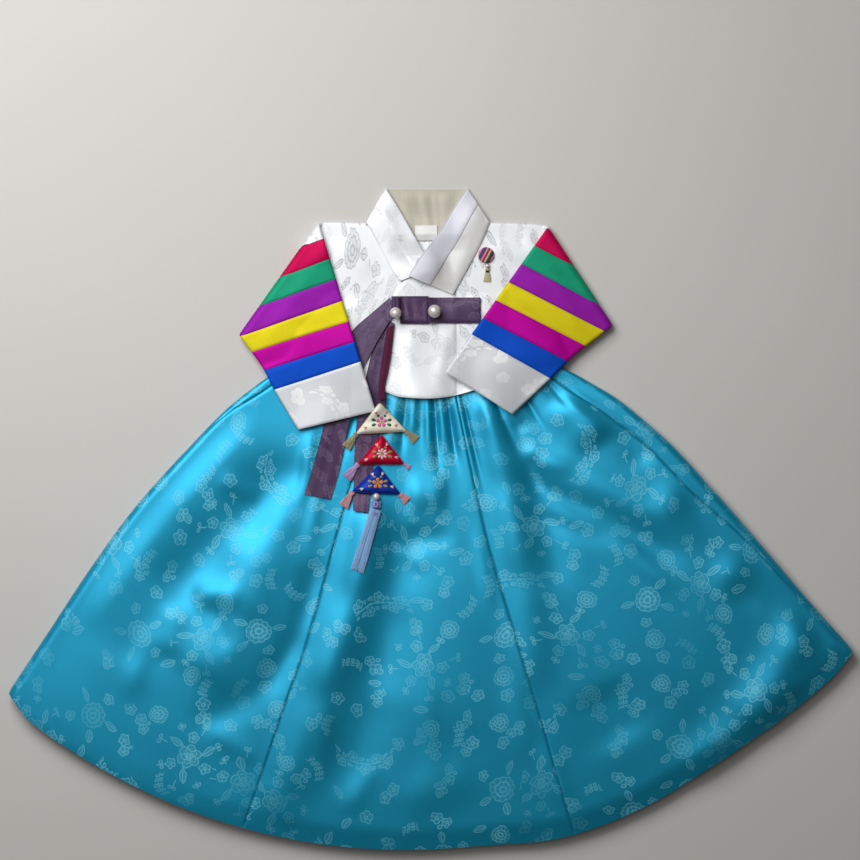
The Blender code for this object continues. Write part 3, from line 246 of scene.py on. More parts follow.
class Laid:
    """Height of the top of everything laid so far, on a square grid."""

    CELL = 2.0
    HALF_X = 484.0
    HALF_Y = 384.0
    SAMPLE = 1.3

    def __init__(self) -> None:
        """Starts with the bare floor."""
        shape = (int(2 * self.HALF_Y / self.CELL) + 1, int(2 * self.HALF_X / self.CELL) + 1)
        self.top = np.zeros(shape)

    def add(self, grid: Array) -> None:
        """Raises the heights to a grid of surface points.

        Args:
            grid: the points.
        """
        for axis in (0, 1):
            step = np.linalg.norm(np.diff(grid, axis=axis)[..., :2], axis=-1).max()
            cuts = max(1, math.ceil(step / self.SAMPLE))
            count = grid.shape[axis]
            at = np.linspace(0, count - 1, (count - 1) * cuts + 1)
            low = np.minimum(at.astype(int), count - 2)
            part = at - low
            part = part[:, None, None] if axis == 0 else part[None, :, None]
            grid = np.take(grid, low, axis) * (1 - part) + np.take(grid, low + 1, axis) * part
        i = np.rint((grid[..., 1] + self.HALF_Y) / self.CELL).astype(int).ravel()
        j = np.rint((grid[..., 0] + self.HALF_X) / self.CELL).astype(int).ravel()
        np.maximum.at(self.top, (i, j), grid[..., 2].ravel())

    def rest(self, reach: float) -> Height:
        """Height on which a soft piece rests.

        Args:
            reach: dips narrower than this are bridged.

        Returns:
            A function of x and y.
        """
        steps = max(1, round(reach / self.CELL))
        grid = self.top.copy()
        for axis in (0, 1):
            spread = grid.copy()
            for k in range(-steps, steps + 1):
                np.maximum(spread, np.roll(grid, k, axis), out=spread)
            grid = spread
        for axis in (0, 1):
            grid = sum(np.roll(grid, k, axis) for k in range(-steps, steps + 1)) / (2 * steps + 1)

        def height(x: Array, y: Array) -> Array:
            """Reads the grid between its cells.

            Args:
                x: places across.
                y: places up.

            Returns:
                The height at each place.
            """
            x, y = np.broadcast_arrays(np.asarray(x, float), np.asarray(y, float))
            u = np.clip((x + self.HALF_X) / self.CELL, 0, grid.shape[1] - 1.001)
            v = np.clip((y + self.HALF_Y) / self.CELL, 0, grid.shape[0] - 1.001)
            j, i = u.astype(int), v.astype(int)
            fu, fv = u - j, v - i
            low = grid[i, j] * (1 - fu) + grid[i, j + 1] * fu
            high = grid[i + 1, j] * (1 - fu) + grid[i + 1, j + 1] * fu
            return low * (1 - fv) + high * fv

        return height


LAID = Laid()

# ---------------------------------------------------------------- pieces


def add_piece(
    name: str,
    points: Array,
    faces: Faces,
    finish: Material,
    slot: str,
    nodes: Sequence[str],
    uv: Array,
    cut: Cut | None = None,
    sharp: float = 55.0,
) -> None:
    """Makes one piece of the garment.

    Args:
        name: the piece's name.
        points: its points, in millimetres.
        faces: its faces, facing out.
        finish: its material.
        slot: the record's material slot; not used.
        nodes: the solids it stands for.
        uv: a place on the cloth for each point, in millimetres.
        cut: the flat cut, where it is a sheet.
        sharp: edges bent more than this many degrees are drawn sharp.
    """
    points = np.asarray(points, float)
    mesh = bpy.data.meshes.new(name)
    mesh.from_pydata(((points - (CENTRE_X, CENTRE_Y, 0.0)) * MM).tolist(), [], faces)
    corners = np.empty(len(mesh.loops), np.int32)
    mesh.loops.foreach_get("vertex_index", corners)
    layer = mesh.uv_layers.new(name="cloth")
    layer.uv.foreach_set("vector", (np.asarray(uv, float)[corners] * MM).astype(np.float32).ravel())
    mesh.polygons.foreach_set("use_smooth", np.ones(len(mesh.polygons), bool))
    mesh.set_sharp_from_angle(angle=math.radians(sharp))
    mesh.materials.append(finish)
    piece = bpy.data.objects.new(name, mesh)
    bpy.context.scene.collection.objects.link(piece)
    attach(piece, "root")
    if nodes:
        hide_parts(*nodes)
    if cut is not None:
        cut.declare(piece)
    areas = np.empty(len(mesh.polygons), np.float32)
    mesh.polygons.foreach_get("area", areas)
    LOG.info("%s: %d faces, %.0f cm2 on each side", name, len(areas), areas.sum() / 2 * M2_TO_CM2)


def shell(upper: Array, lower: Array) -> tuple[Array, Faces]:
    """A closed wall between two grids of points.

    Args:
        upper: the outer surface.
        lower: the inner surface, a cloth's thickness below it.

    Returns:
        Its points, outer ones first, and its faces.
    """
    rows, columns = upper.shape[:2]
    count = rows * columns
    index = np.arange(count).reshape(rows, columns)
    a, b, c, d = index[:-1, :-1], index[1:, :-1], index[1:, 1:], index[:-1, 1:]
    outer = np.stack([a, b, c, d], -1).reshape(-1, 4)
    inner = np.stack([a, d, c, b], -1).reshape(-1, 4) + count
    edge = np.concatenate([index[:, 0], index[-1, 1:], index[-2::-1, -1], index[0, -2:0:-1]])
    after = np.roll(edge, -1)
    rim = np.stack([after, edge, edge + count, after + count], -1)
    points = np.concatenate([upper.reshape(-1, 3), lower.reshape(-1, 3)])
    corner = points[outer]
    facing = np.cross(corner[:, 2] - corner[:, 0], corner[:, 3] - corner[:, 1])
    away = points[outer[:, 0]] - points[outer[:, 0] + count]
    faces = np.concatenate([outer, inner, rim])
    if (facing * away).sum() < 0:
        faces = faces[:, ::-1]
    return points, faces.tolist()


def add_cloth(
    name: str,
    mid: Array,
    thickness: float,
    finish: Material,
    slot: str,
    nodes: Sequence[str],
    cut: Cut | None = None,
    normal: Array | None = None,
    turn: float = 0.0,
) -> None:
    """Makes a cloth whose middle is a grid of points, and lays it down.

    Args:
        name: the piece's name.
        mid: the grid.
        thickness: the cloth's.
        finish: its material.
        slot: the record's material slot.
        nodes: the solids it stands for.
        cut: its flat cut.
        normal: the grid's normals, where they aren't its own.
        turn: how far the cloth's pattern is turned, in degrees.
    """
    normal = grid_normals(mid) if normal is None else normal
    upper, lower = mid + normal * thickness / 2, mid - normal * thickness / 2
    LAID.add(np.where(upper[..., 2:] > lower[..., 2:], upper, lower))
    points, faces = shell(upper, lower)
    across, down = grid_lengths(mid)
    cos, sin = math.cos(math.radians(turn)), math.sin(math.radians(turn))
    flat = np.stack([across * cos - down * sin, across * sin + down * cos], -1).reshape(-1, 2)
    flat = flat + (7.3 * len(name), 11.9 * (len(name) % 7))
    add_piece(name, points, faces, finish, slot, nodes, np.concatenate([flat, flat]), cut)


def ring_faces(count: int, sides: int, flip: bool = False) -> Faces:
    """Faces between rings of points, with a cap at both ends.

    Args:
        count: how many points there are in all.
        sides: how many points there are in a ring.
        flip: whether the faces look the other way.

    Returns:
        The faces.
    """
    index = np.arange(count).reshape(-1, sides)
    after = np.roll(index, -1, axis=1)
    faces = np.stack([index[:-1], index[1:], after[1:], after[:-1]], -1).reshape(-1, 4).tolist()
    faces += [index[0].tolist(), index[-1, ::-1].tolist()]
    return [face[::-1] for face in faces] if flip else faces


def cord(path: Array, radius: float | Array, sides: int = 6) -> tuple[Array, Faces, Array]:
    """A round cord along a path.

    Args:
        path: the points it follows.
        radius: its radius, one for all or one for each point.
        sides: how many sides it has.

    Returns:
        Its points, its faces, and for each point its place (round it, along it).
    """
    path = np.asarray(path, float)
    ahead = np.gradient(path, axis=0)
    ahead /= np.maximum(np.linalg.norm(ahead, axis=1, keepdims=True), 1e-9)
    up = np.broadcast_to([0.0, 0.0, 1.0], path.shape)
    steep = np.abs(ahead[:, 2:]) > 0.9
    side = np.cross(ahead, np.where(steep, [[0.0, 1.0, 0.0]], up))
    side /= np.linalg.norm(side, axis=1, keepdims=True)
    up = np.cross(side, ahead)
    turn = np.arange(sides) * 2 * math.pi / sides
    wide = np.broadcast_to(np.asarray(radius, float), (len(path),))[:, None, None]
    ring = side[:, None] * np.cos(turn)[None, :, None] + up[:, None] * np.sin(turn)[None, :, None]
    points = (path[:, None] + ring * wide).reshape(-1, 3)
    place = np.stack(np.broadcast_arrays(turn[None, :] * np.max(radius), travelled(path)[:, None]), -1)
    return points, ring_faces(len(points), sides), place.reshape(-1, 2)


class Heap:
    """Several small meshes gathered into one piece."""

    def __init__(self) -> None:
        """Starts empty."""
        self.points: list[Array] = []
        self.faces: Faces = []
        self.places: list[Array] = []
        self.count = 0

    def add(self, points: Array, faces: Faces, place: Array) -> None:
        """Adds one mesh with its places on the cloth."""
        self.faces += [[v + self.count for v in face] for face in faces]
        self.points.append(np.asarray(points, float))
        self.places.append(np.asarray(place, float))
        self.count += len(points)

    def piece(self, name: str, finish: Material, slot: str, nodes: Sequence[str] = ()) -> None:
        """Makes the gathered meshes one piece."""
        points, places = np.concatenate(self.points), np.concatenate(self.places)
        add_piece(name, points, self.faces, finish, slot, nodes, places)


# ---------------------------------------------------------------- finishes


def linear(code: str) -> tuple[float, float, float, float]:
    """Linear colour of an sRGB hex code such as "1E8CAF"."""
    parts = [int(code[k : k + 2], 16) / 255 for k in (0, 2, 4)]
    red, green, blue = (c / 12.92 if c <= 0.04045 else ((c + 0.055) / 1.055) ** 2.4 for c in parts)
    return red, green, blue, 1.0


def feed(node: bpy.types.Node, links: dict) -> None:
    """Gives each named or numbered input of a node a wire, a socket or a value.

    Args:
        node: the node.
        links: what each input gets.
    """
    for key, value in links.items():
        value = value.socket if isinstance(value, Wire) else value
        if isinstance(value, Socket):
            node.id_data.links.new(value, node.inputs[key])
        else:
            node.inputs[key].default_value = value


def add_node(tree: Tree, kind: str, links: dict | None = None, **settings: object) -> bpy.types.Node:
    """Adds a node to a material.

    Args:
        tree: the material's nodes.
        kind: the node's type.
        links: for each input, by name or number, what feeds it: a wire, a socket or a value.
        settings: the node's own settings.

    Returns:
        The new node.
    """
    node = tree.nodes.new(kind)
    for key, value in settings.items():
        setattr(node, key, value)
    feed(node, links or {})
    return node


@dataclass(frozen=True)
class Wire:
    """A number inside a material that formulas can be written with."""

    tree: Tree
    socket: Socket

    def math(self, operation: str, *others: "Wire | float", clamp: bool = False) -> "Wire":
        """The result of a Math node on this and other numbers."""
        links = dict(enumerate([self, *others]))
        node = add_node(self.tree, "ShaderNodeMath", links, operation=operation, use_clamp=clamp)
        return Wire(self.tree, node.outputs[0])

    def __add__(self, other: "Wire | float") -> "Wire":
        """Sum."""
        return self.math("ADD", other)

    def __sub__(self, other: "Wire | float") -> "Wire":
        """Difference."""
        return self.math("SUBTRACT", other)

    def __mul__(self, other: "Wire | float") -> "Wire":
        """Product."""
        return self.math("MULTIPLY", other)

    def __abs__(self) -> "Wire":
        """Size without sign."""
        return self.math("ABSOLUTE")

    def times_plus(self, factor: "Wire | float", more: "Wire | float") -> "Wire":
        """factor times this, plus more."""
        return self.math("MULTIPLY_ADD", factor, more)

    def line(self, half: float) -> "Wire":
        """1 where this is 0, falling to 0 at half on either side."""
        return abs(self).math("MULTIPLY_ADD", -1.0 / half, 1.0, clamp=True)

    def under(self, limit: float, soft: float = 0.5) -> "Wire":
        """1 where this is below limit, with an edge of width soft."""
        return self.math("MULTIPLY_ADD", -1.0 / soft, limit / soft + 0.5, clamp=True)

    def most(self, *others: "Wire") -> "Wire":
        """The greatest of these."""
        found = self
        for other in others:
            found = found.math("MAXIMUM", other)
        return found

    def reach(self, other: "Wire | float") -> "Wire":
        """Length of the vector (this, other)."""
        return (self * self + other * other).math("SQRT")


@dataclass(frozen=True)
class Drawn:
    """A woven figure: its outline and its filled area."""

    outline: Wire
    area: Wire

    def where(self, mask: Wire) -> "Drawn":
        """Only where mask is 1."""
        return Drawn(self.outline * mask, self.area * mask)

    def over(self, other: "Drawn") -> "Drawn":
        """Both figures."""
        return Drawn(self.outline.most(other.outline), self.area.most(other.area))


@dataclass(frozen=True)
class Figures:
    """The jacquard's woven figures, each about its own middle, in millimetres of cloth."""

    line: float = 0.7  # half width of a woven outline, drawn coarse enough to show

    def lines(self, *edges: Wire) -> Wire:
        """The outlines along places where a distance is 0."""
        first, *others = (edge.line(self.line) for edge in edges)
        return first.most(*others)

    def petals(self, x: Wire, y: Wire, count: int, size: float, turn: float = 0.0) -> tuple[Wire, Wire]:
        """A ring of round petals.

        Args:
            x: place along.
            y: place across.
            count: how many petals.
            size: distance of their tips from the middle.
            turn: angle by which the ring is turned.

        Returns:
            The distance from the nearest petal's edge, minus inside, and that from the middle.
        """
        part = math.pi / count
        bulge = 1.12 * math.sin(part)
        middle = size / (1.0 + bulge)
        out, aside, _ = self.ring(x, y, count, middle, turn)
        return out.reach(aside) - middle * bulge, x.reach(y)

    def ring(self, x: Wire, y: Wire, count: int, radius: float, turn: float = 0.0) -> tuple[Wire, Wire, Wire]:
        """Coordinates about the nearest of several places on a ring.

        Args:
            x: place along.
            y: place across.
            count: how many places.
            radius: the ring's radius.
            turn: angle by which the ring is turned.

        Returns:
            The place outwards from there, the place aside from there, and 1 for every second of the places.
        """
        part = math.pi / count
        far, angle = x.reach(y), y.math("ARCTAN2", x) + turn
        local = angle.math("WRAP", part, -part)
        number = abs(((angle - local) * (0.5 / part)).math("ROUND"))
        out = far * local.math("COSINE") - radius
        return out, far * local.math("SINE"), number.math("MODULO", 2.0)

    def blossom(self, x: Wire, y: Wire, size: float = 7.2) -> Drawn:
        """A plum blossom of five round petals."""
        edge, far = self.petals(x, y, 5, size)
        return Drawn(self.lines(edge, far - 0.22 * size), edge.under(0.0))

    def pair(self, x: Wire, y: Wire) -> Drawn:
        """A blossom with a smaller one and a bud beside it."""
        bud = (x - 1.0).reach(y - 8.6) - 1.8
        both = self.blossom(x + 5.4, y, 6.6).over(self.blossom(x - 6.4, y - 2.0, 5.4))
        return both.over(Drawn(self.lines(bud), bud.under(0.0)))

    def chrysanthemum(self, x: Wire, y: Wire, size: float = 10.0) -> Drawn:
        """A round flower of two rings of narrow petals."""
        edge, far = self.petals(x, y, 12, size)
        inner, _ = self.petals(x, y, 8, 0.62 * size, 0.3)
        return Drawn(self.lines(edge, inner, far - 0.2 * size), edge.under(0.0).most(far.under(0.75 * size)))

    def butterfly(self, x: Wire, y: Wire) -> Drawn:
        """Four wings on a slim body.

        Args:
            x: place along, about the figure's middle.
            y: place across.

        Returns:
            The figure.
        """
        side = abs(x)
        upper = (side - 4.8).reach(y - 2.4) - 4.1
        lower = (side - 3.4).reach(y + 3.8) - 2.8
        spot = (side - 5.4).reach(y - 2.9) - 1.5
        body = self.lines(side) * abs(y).under(5.4)
        return Drawn(self.lines(upper, lower, spot).most(body), upper.under(0.0).most(lower.under(0.0)))

    def spray(self, x: Wire, y: Wire) -> Drawn:
        """A curved stem with round buds on both sides.

        Args:
            x: place along, about the figure's middle.
            y: place across.

        Returns:
            The figure.
        """
        stem = y - x * x * 0.03
        along = x.math("WRAP", 2.8, -2.8)
        bud = along.reach(abs(stem) - 2.9) - 1.6
        return Drawn(self.lines(bud, stem), bud.under(0.0)).where(abs(x).under(12.0))

    def leaf(self, x: Wire, y: Wire, length: float = 8.0) -> Drawn:
        """One pointed leaf that lies along x."""
        near = abs(y)
        edge = near - (x * x).times_plus(-0.42 / length, 0.42 * length)
        vein = self.lines(near) * abs(x).under(0.8 * length)
        return Drawn(self.lines(edge).most(vein), edge.under(0.0)).where(abs(x).under(length))

    def peony(self, x: Wire, y: Wire, size: float = 13.0) -> Drawn:
        """A full flower of three rings of petals."""
        edge, far = self.petals(x, y, 6, size)
        middle, _ = self.petals(x, y, 5, 0.66 * size, 0.5)
        heart, _ = self.petals(x, y, 3, 0.36 * size, 0.2)
        return Drawn(self.lines(edge, middle, heart), edge.under(0.0).most(far.under(0.7 * size)))

    def bouquet(self, x: Wire, y: Wire) -> Drawn:
        """A peony among leaves, blossoms and buds.

        Args:
            x: place along, about the figure's middle.
            y: place across.

        Returns:
            The figure.
        """
        out, aside, odd = self.ring(x, y, 6, 22.0)
        even = odd.times_plus(-1.0, 1.0)
        drawn = self.peony(x, y).over(self.blossom(out, aside - 1.5, 6.2).where(odd))
        drawn = drawn.over(self.leaf(out + 0.5, aside - out * 0.25, 8.2).where(even))
        out, aside, odd = self.ring(x, y, 8, 33.0, 0.5)
        bud = (out - odd * 5.0).reach(abs(aside) - 2.6) - 1.9
        stem = self.lines(aside) * abs(out).under(5.0)
        return drawn.over(Drawn(self.lines(bud).most(stem), bud.under(0.0)))

    def branch(self, x: Wire, y: Wire) -> Drawn:
        """A long bent branch with blossoms and buds on both sides.

        Args:
            x: place along, about the figure's middle.
            y: place across.

        Returns:
            The figure.
        """
        stem = y - x * x * 0.012
        along = x.math("WRAP", 6.5, -6.5)
        step = abs(((x - along) * (1 / 13.0)).math("ROUND")).math("MODULO", 2.0).times_plus(11.0, -5.5)
        drawn = self.blossom(along, stem - step, 5.8).over(self.leaf(along - 5.0, stem + step * 0.9, 4.6))
        bud = (along + 4.0).reach(stem + step * 0.8) - 1.6
        return drawn.over(Drawn(self.lines(bud, stem), bud.under(0.0))).where(abs(x).under(32.0))

    def rosette(self, x: Wire, y: Wire) -> Drawn:
        """A large chrysanthemum with a few leaves and blossoms round it."""
        out, aside, odd = self.ring(x, y, 5, 22.5, 0.9)
        drawn = self.chrysanthemum(x, y, 13.5).over(self.leaf(out, aside, 7.5).where(odd))
        return drawn.over(self.blossom(out - 3.0, aside, 5.6).where(odd.times_plus(-1.0, 1.0)))


@dataclass(frozen=True)
class Scatter:
    """Figures of one size strewn over the cloth, one to a cell."""

    cell: float  # mean distance between two figures in millimetres
    jitter: float
    shift: float

    def nearest(self, tree: Tree, place: Socket) -> bpy.types.Node:
        """The node that finds the figure nearest to a place."""
        moved = add_node(tree, "ShaderNodeVectorMath", {0: place, 1: (self.shift,) * 3}, operation="ADD")
        links = {"Vector": moved.outputs[0], "Scale": 1 / self.cell, "Randomness": self.jitter}
        return add_node(tree, "ShaderNodeTexVoronoi", links, voronoi_dimensions="2D")

    def around(self, tree: Tree, place: Socket) -> tuple[Wire, Wire, Wire, Socket]:
        """Coordinates about the nearest figure.

        Args:
            tree: the material's nodes.
            place: the place on the cloth.

        Returns:
            x and y about the figure, turned at random; its own chance from 0 to 1; its middle.
        """
        cells = self.nearest(tree, place)
        back = {0: cells.outputs["Position"], 1: (self.shift,) * 3}
        middle = add_node(tree, "ShaderNodeVectorMath", back, operation="SUBTRACT").outputs[0]
        offset = add_node(tree, "ShaderNodeVectorMath", {0: place, 1: middle}, operation="SUBTRACT")
        chance = add_node(tree, "ShaderNodeSeparateColor", {0: cells.outputs["Color"]})
        angle = Wire(tree, chance.outputs[0]) * math.tau
        turned = add_node(tree, "ShaderNodeVectorRotate", {"Vector": offset.outputs[0], "Angle": angle})
        axes = add_node(tree, "ShaderNodeSeparateXYZ", {0: turned.outputs[0]})
        return Wire(tree, axes.outputs[0]), Wire(tree, axes.outputs[1]), Wire(tree, chance.outputs[1]), middle


def start(name: str) -> tuple[Material, Tree, bpy.types.Node]:
    """A new material, its nodes and its surface."""
    material = bpy.data.materials.new(name)
    material.use_nodes = True
    return material, material.node_tree, material.node_tree.nodes["Principled BSDF"]


def cloth_place(tree: Tree) -> Socket:
    """The place on the cloth in millimetres."""
    place = add_node(tree, "ShaderNodeUVMap", uv_map="cloth").outputs[0]
    return add_node(tree, "ShaderNodeVectorMath", {0: place, "Scale": 1000.0}, operation="SCALE").outputs[0]


def streaks(tree: Tree, place: Socket, wide: float, long: float) -> Wire:
    """Uneven threads from 0 to 1, so many millimetres wide and long.

    Args:
        tree: the nodes.
        place: the place on the cloth.
        wide: width of a thread.
        long: its length.

    Returns:
        The threads' pattern.
    """
    squeezed = add_node(
        tree, "ShaderNodeVectorMath", {0: place, 1: (1 / wide, 1 / long, 1.0)}, operation="MULTIPLY"
    )
    noise = add_node(tree, "ShaderNodeTexNoise", {"Vector": squeezed.outputs[0], "Scale": 1.0, "Detail": 1.0})
    return Wire(tree, noise.outputs[0])


def blend(tree: Tree, share: Wire, first: object, second: object) -> Socket:
    """A colour between two, or between a socket's colour and another."""
    links = {0: share, 6: first, 7: second}
    return add_node(tree, "ShaderNodeMix", links, data_type="RGBA").outputs[2]


def pressed(tree: Tree, height: Wire, depth: float, strength: float) -> Socket:
    """The normal of a relief that is depth millimetres deep."""
    links = {"Height": height, "Distance": depth * MM, "Strength": strength}
    return add_node(tree, "ShaderNodeBump", links).outputs[0]


@dataclass(frozen=True)
class Brocade:
    """Jacquard-woven polyester satin: a glossy ground with more matt woven figures, which are paler than it
    in shade and darker in a highlight."""

    name: str
    ground: str
    deep: str
    figure: str
    gloss: float = 0.44  # roughness of the satin ground
    matt: float = 0.70  # roughness of the figures
    metallic: float = 0.52  # a dyed thread tints its highlight
    shine: float = 0.45  # strength of the white part of the highlight
    outline: float = 0.95  # how strongly a figure's outline shows
    area: float = 0.14  # and its inside
    figures: Figures = Figures()
    large: Scatter = Scatter(cell=100.0, jitter=0.8, shift=31.0)
    small: Scatter = Scatter(cell=28.0, jitter=0.9, shift=207.0)
    clear: float = 40.0  # a small figure keeps this far from a large one's middle

    def drawn(self, tree: Tree, place: Socket) -> Drawn:
        """All the figures of the cloth, drawn slightly bent so that no two are alike.

        Args:
            tree: the nodes.
            place: the place on the cloth.

        Returns:
            The outlines and the areas of the figures.
        """
        for scale, size in ((30.0, 7.0), (6.5, 1.5)):
            links = {"Vector": place, "Scale": 1 / scale}
            bend = add_node(tree, "ShaderNodeTexNoise", links, noise_dimensions="2D")
            links = {0: bend.outputs["Color"], 1: (size,) * 3, 2: place}
            place = add_node(tree, "ShaderNodeVectorMath", links, operation="MULTIPLY_ADD").outputs[0]
        draw = self.figures
        x, y, chance, _ = self.large.around(tree, place)
        big = self.chosen(x, y, chance, ((0.45, draw.bouquet), (0.75, draw.branch), (1.01, draw.rosette)))
        x, y, chance, middle = self.small.around(tree, place)
        apart = Wire(tree, self.large.nearest(tree, middle).outputs["Distance"]) * self.large.cell
        kinds = (
            (0.22, draw.blossom), (0.42, draw.pair), (0.53, draw.butterfly), (0.63, draw.chrysanthemum),
            (0.77, draw.spray), (0.86, draw.leaf),
        )
        return big.over(self.chosen(x, y, chance, kinds).where(apart.math("GREATER_THAN", self.clear)))

    def chosen(self, x: Wire, y: Wire, chance: Wire, kinds: Sequence[tuple[float, Callable]]) -> Drawn:
        """The figure that a chance picks.

        Args:
            x: place along, about the figure's middle.
            y: place across.
            chance: a number from 0 to 1.
            kinds: for each figure, the chance below which it is picked, and what draws it.

        Returns:
            The figure; nothing where no kind is picked.
        """
        low = 0.0
        found = None
        for high, figure in kinds:
            mask = chance.math("LESS_THAN", high) * chance.math("GREATER_THAN", low)
            shown = figure(x, y).where(mask)
            found = shown if found is None else found.over(shown)
            low = high
        return found

    def material(self) -> Material:
        """Builds the material.

        Returns:
            The material.
        """
        material, tree, surface = start(self.name)
        place = cloth_place(tree)
        drawn = self.drawn(tree, place)
        # Threads are 0.15 mm; they are drawn 0.8 mm wide so that they show as a faint grain.
        thread = streaks(tree, place, 0.8, 14.0)
        cloud = streaks(tree, place, 60.0, 60.0)
        # The float threads catch the light unevenly, so a figure is plain in one place and faint in the next.
        patchy = streaks(tree, place, 85.0, 70.0).times_plus(3.6, -1.3).math("MULTIPLY", 1.0, clamp=True)
        shown = patchy.times_plus(0.7, 0.3)
        woven = (drawn.outline * self.outline).math("MAXIMUM", drawn.area * self.area, clamp=True) * shown
        shade = (cloud + thread * 0.5).times_plus(0.9, -0.2)
        ground = blend(tree, shade, linear(self.deep), linear(self.ground))
        feed(surface, {
            "Base Color": blend(tree, woven, ground, linear(self.figure)),
            "Roughness": woven.times_plus(self.matt - self.gloss, self.gloss) + (thread - 0.5) * 0.06,
            "Metallic": woven.times_plus(-0.5 * self.metallic, self.metallic),
            "Specular IOR Level": self.shine,
            "Normal": pressed(tree, thread, 0.07, 0.6),
        })
        return material


@dataclass(frozen=True)
class Satin:
    """Plain polyester satin: long floats of thread give one broad soft highlight and a lengthwise grain."""

    name: str
    colour: str
    deep: str
    gloss: float = 0.60
    metallic: float = 0.30

    def material(self) -> Material:
        """Builds the material.

        Returns:
            The material.
        """
        material, tree, surface = start(self.name)
        place = cloth_place(tree)
        thread = streaks(tree, place, 0.9, 22.0)
        cloud = streaks(tree, place, 26.0, 18.0)
        shade = (cloud * 0.7 + thread * 0.6).times_plus(1.3, -0.3)
        feed(surface, {
            "Base Color": blend(tree, shade, linear(self.deep), linear(self.colour)),
            "Roughness": thread.times_plus(0.10, self.gloss - 0.05),
            "Metallic": self.metallic,
            "Specular IOR Level": 0.1,
            "Normal": pressed(tree, thread * 0.5 + cloud, 0.25, 0.3),
        })
        return material


@dataclass(frozen=True)
class Thread:
    """Twisted rayon thread, as in tassels, stitches and cords: fine lines along it, a silky sheen."""

    name: str
    colour: str
    deep: str
    twist: float = 0.7  # distance between two turns in millimetres
    slant: float = 1.0
    gloss: float = 0.45

    def material(self) -> Material:
        """Builds the material.

        Returns:
            The material.
        """
        material, tree, surface = start(self.name)
        place = cloth_place(tree)
        axes = add_node(tree, "ShaderNodeSeparateXYZ", {0: place})
        along = Wire(tree, axes.outputs[1]) * (math.tau / self.twist)
        ply = (Wire(tree, axes.outputs[0]) * (self.slant * math.tau / self.twist) + along).math("SINE")
        ply = ply.times_plus(0.5, 0.5)
        patch = streaks(tree, place, 1.6, 9.0)
        # Where ply is low, in the grooves of the twist, the thread gets the deeper colour: painted shade
        # between the plies. The patches are random tone.
        shade = (ply * 0.5 + patch).times_plus(0.95, -0.2)
        feed(surface, {
            "Base Color": blend(tree, shade, linear(self.deep), linear(self.colour)),
            "Roughness": ply.times_plus(-0.12, self.gloss + 0.06),
            "Specular IOR Level": 0.35,
            "Normal": pressed(tree, ply, 0.12, 0.5),
        })
        return material


@dataclass(frozen=True)
class Pearl:
    """Moulded imitation pearl: a milky lacquered ball, painted a darker rosy grey towards its rim by viewing
    angle as painted shade and sheen.
    """

    name: str = "Lacquered imitation pearl"

    def material(self) -> Material:
        """Builds the material.

        Returns:
            The material.
        """
        material, tree, surface = start(self.name)
        place = cloth_place(tree)
        # The rosy grey blended in towards the rim by viewing angle is painted shade and sheen.
        facing = add_node(tree, "ShaderNodeLayerWeight", {"Blend": 0.45})
        body = blend(tree, streaks(tree, place, 3.0, 3.0), linear("D9CFCB"), linear("EDE6E0"))
        feed(surface, {
            "Base Color": blend(tree, Wire(tree, facing.outputs["Facing"]), body, linear("A88F9C")),
            "Roughness": streaks(tree, place, 1.5, 1.5).times_plus(0.1, 0.17),
            "Metallic": 0.25,
            "Coat Weight": 0.8,
            "Coat Roughness": 0.08,
        })
        return material


@dataclass(frozen=True)
class Striped:
    """Narrow woven rainbow band stretched over the pin's button."""

    name: str = "Woven striped button cloth"
    colours: tuple[str, ...] = (
        "E27A92", "43307E", "3C2B8C", "E9803F", "5E2A7E", "E8A27A", "33414A", "2C3A42", "E58BA0",
    )
    width: float = 17.6

    def material(self) -> Material:
        """Builds the material.

        Returns:
            The material.
        """
        material, tree, surface = start(self.name)
        place = cloth_place(tree)
        axes = add_node(tree, "ShaderNodeSeparateXYZ", {0: place})
        across = Wire(tree, axes.outputs[0]).times_plus(1 / self.width, 0.5)
        ramp = add_node(tree, "ShaderNodeValToRGB", {0: across})
        ramp.color_ramp.interpolation = "CONSTANT"
        stops = ramp.color_ramp.elements
        while len(stops) < len(self.colours):
            stops.new(0.5)
        for k, (stop, colour) in enumerate(zip(stops, self.colours)):
            stop.position = k / len(self.colours)
            stop.color = linear(colour)
        weave = (Wire(tree, axes.outputs[1]) * (math.tau / 0.9)).math("SINE")
        feed(surface, {
            "Base Color": ramp.outputs[0],
            "Roughness": weave.times_plus(0.08, 0.5),
            "Normal": pressed(tree, weave, 0.15, 0.6),
        })
        return material


# ---------------------------------------------------------------- skirt


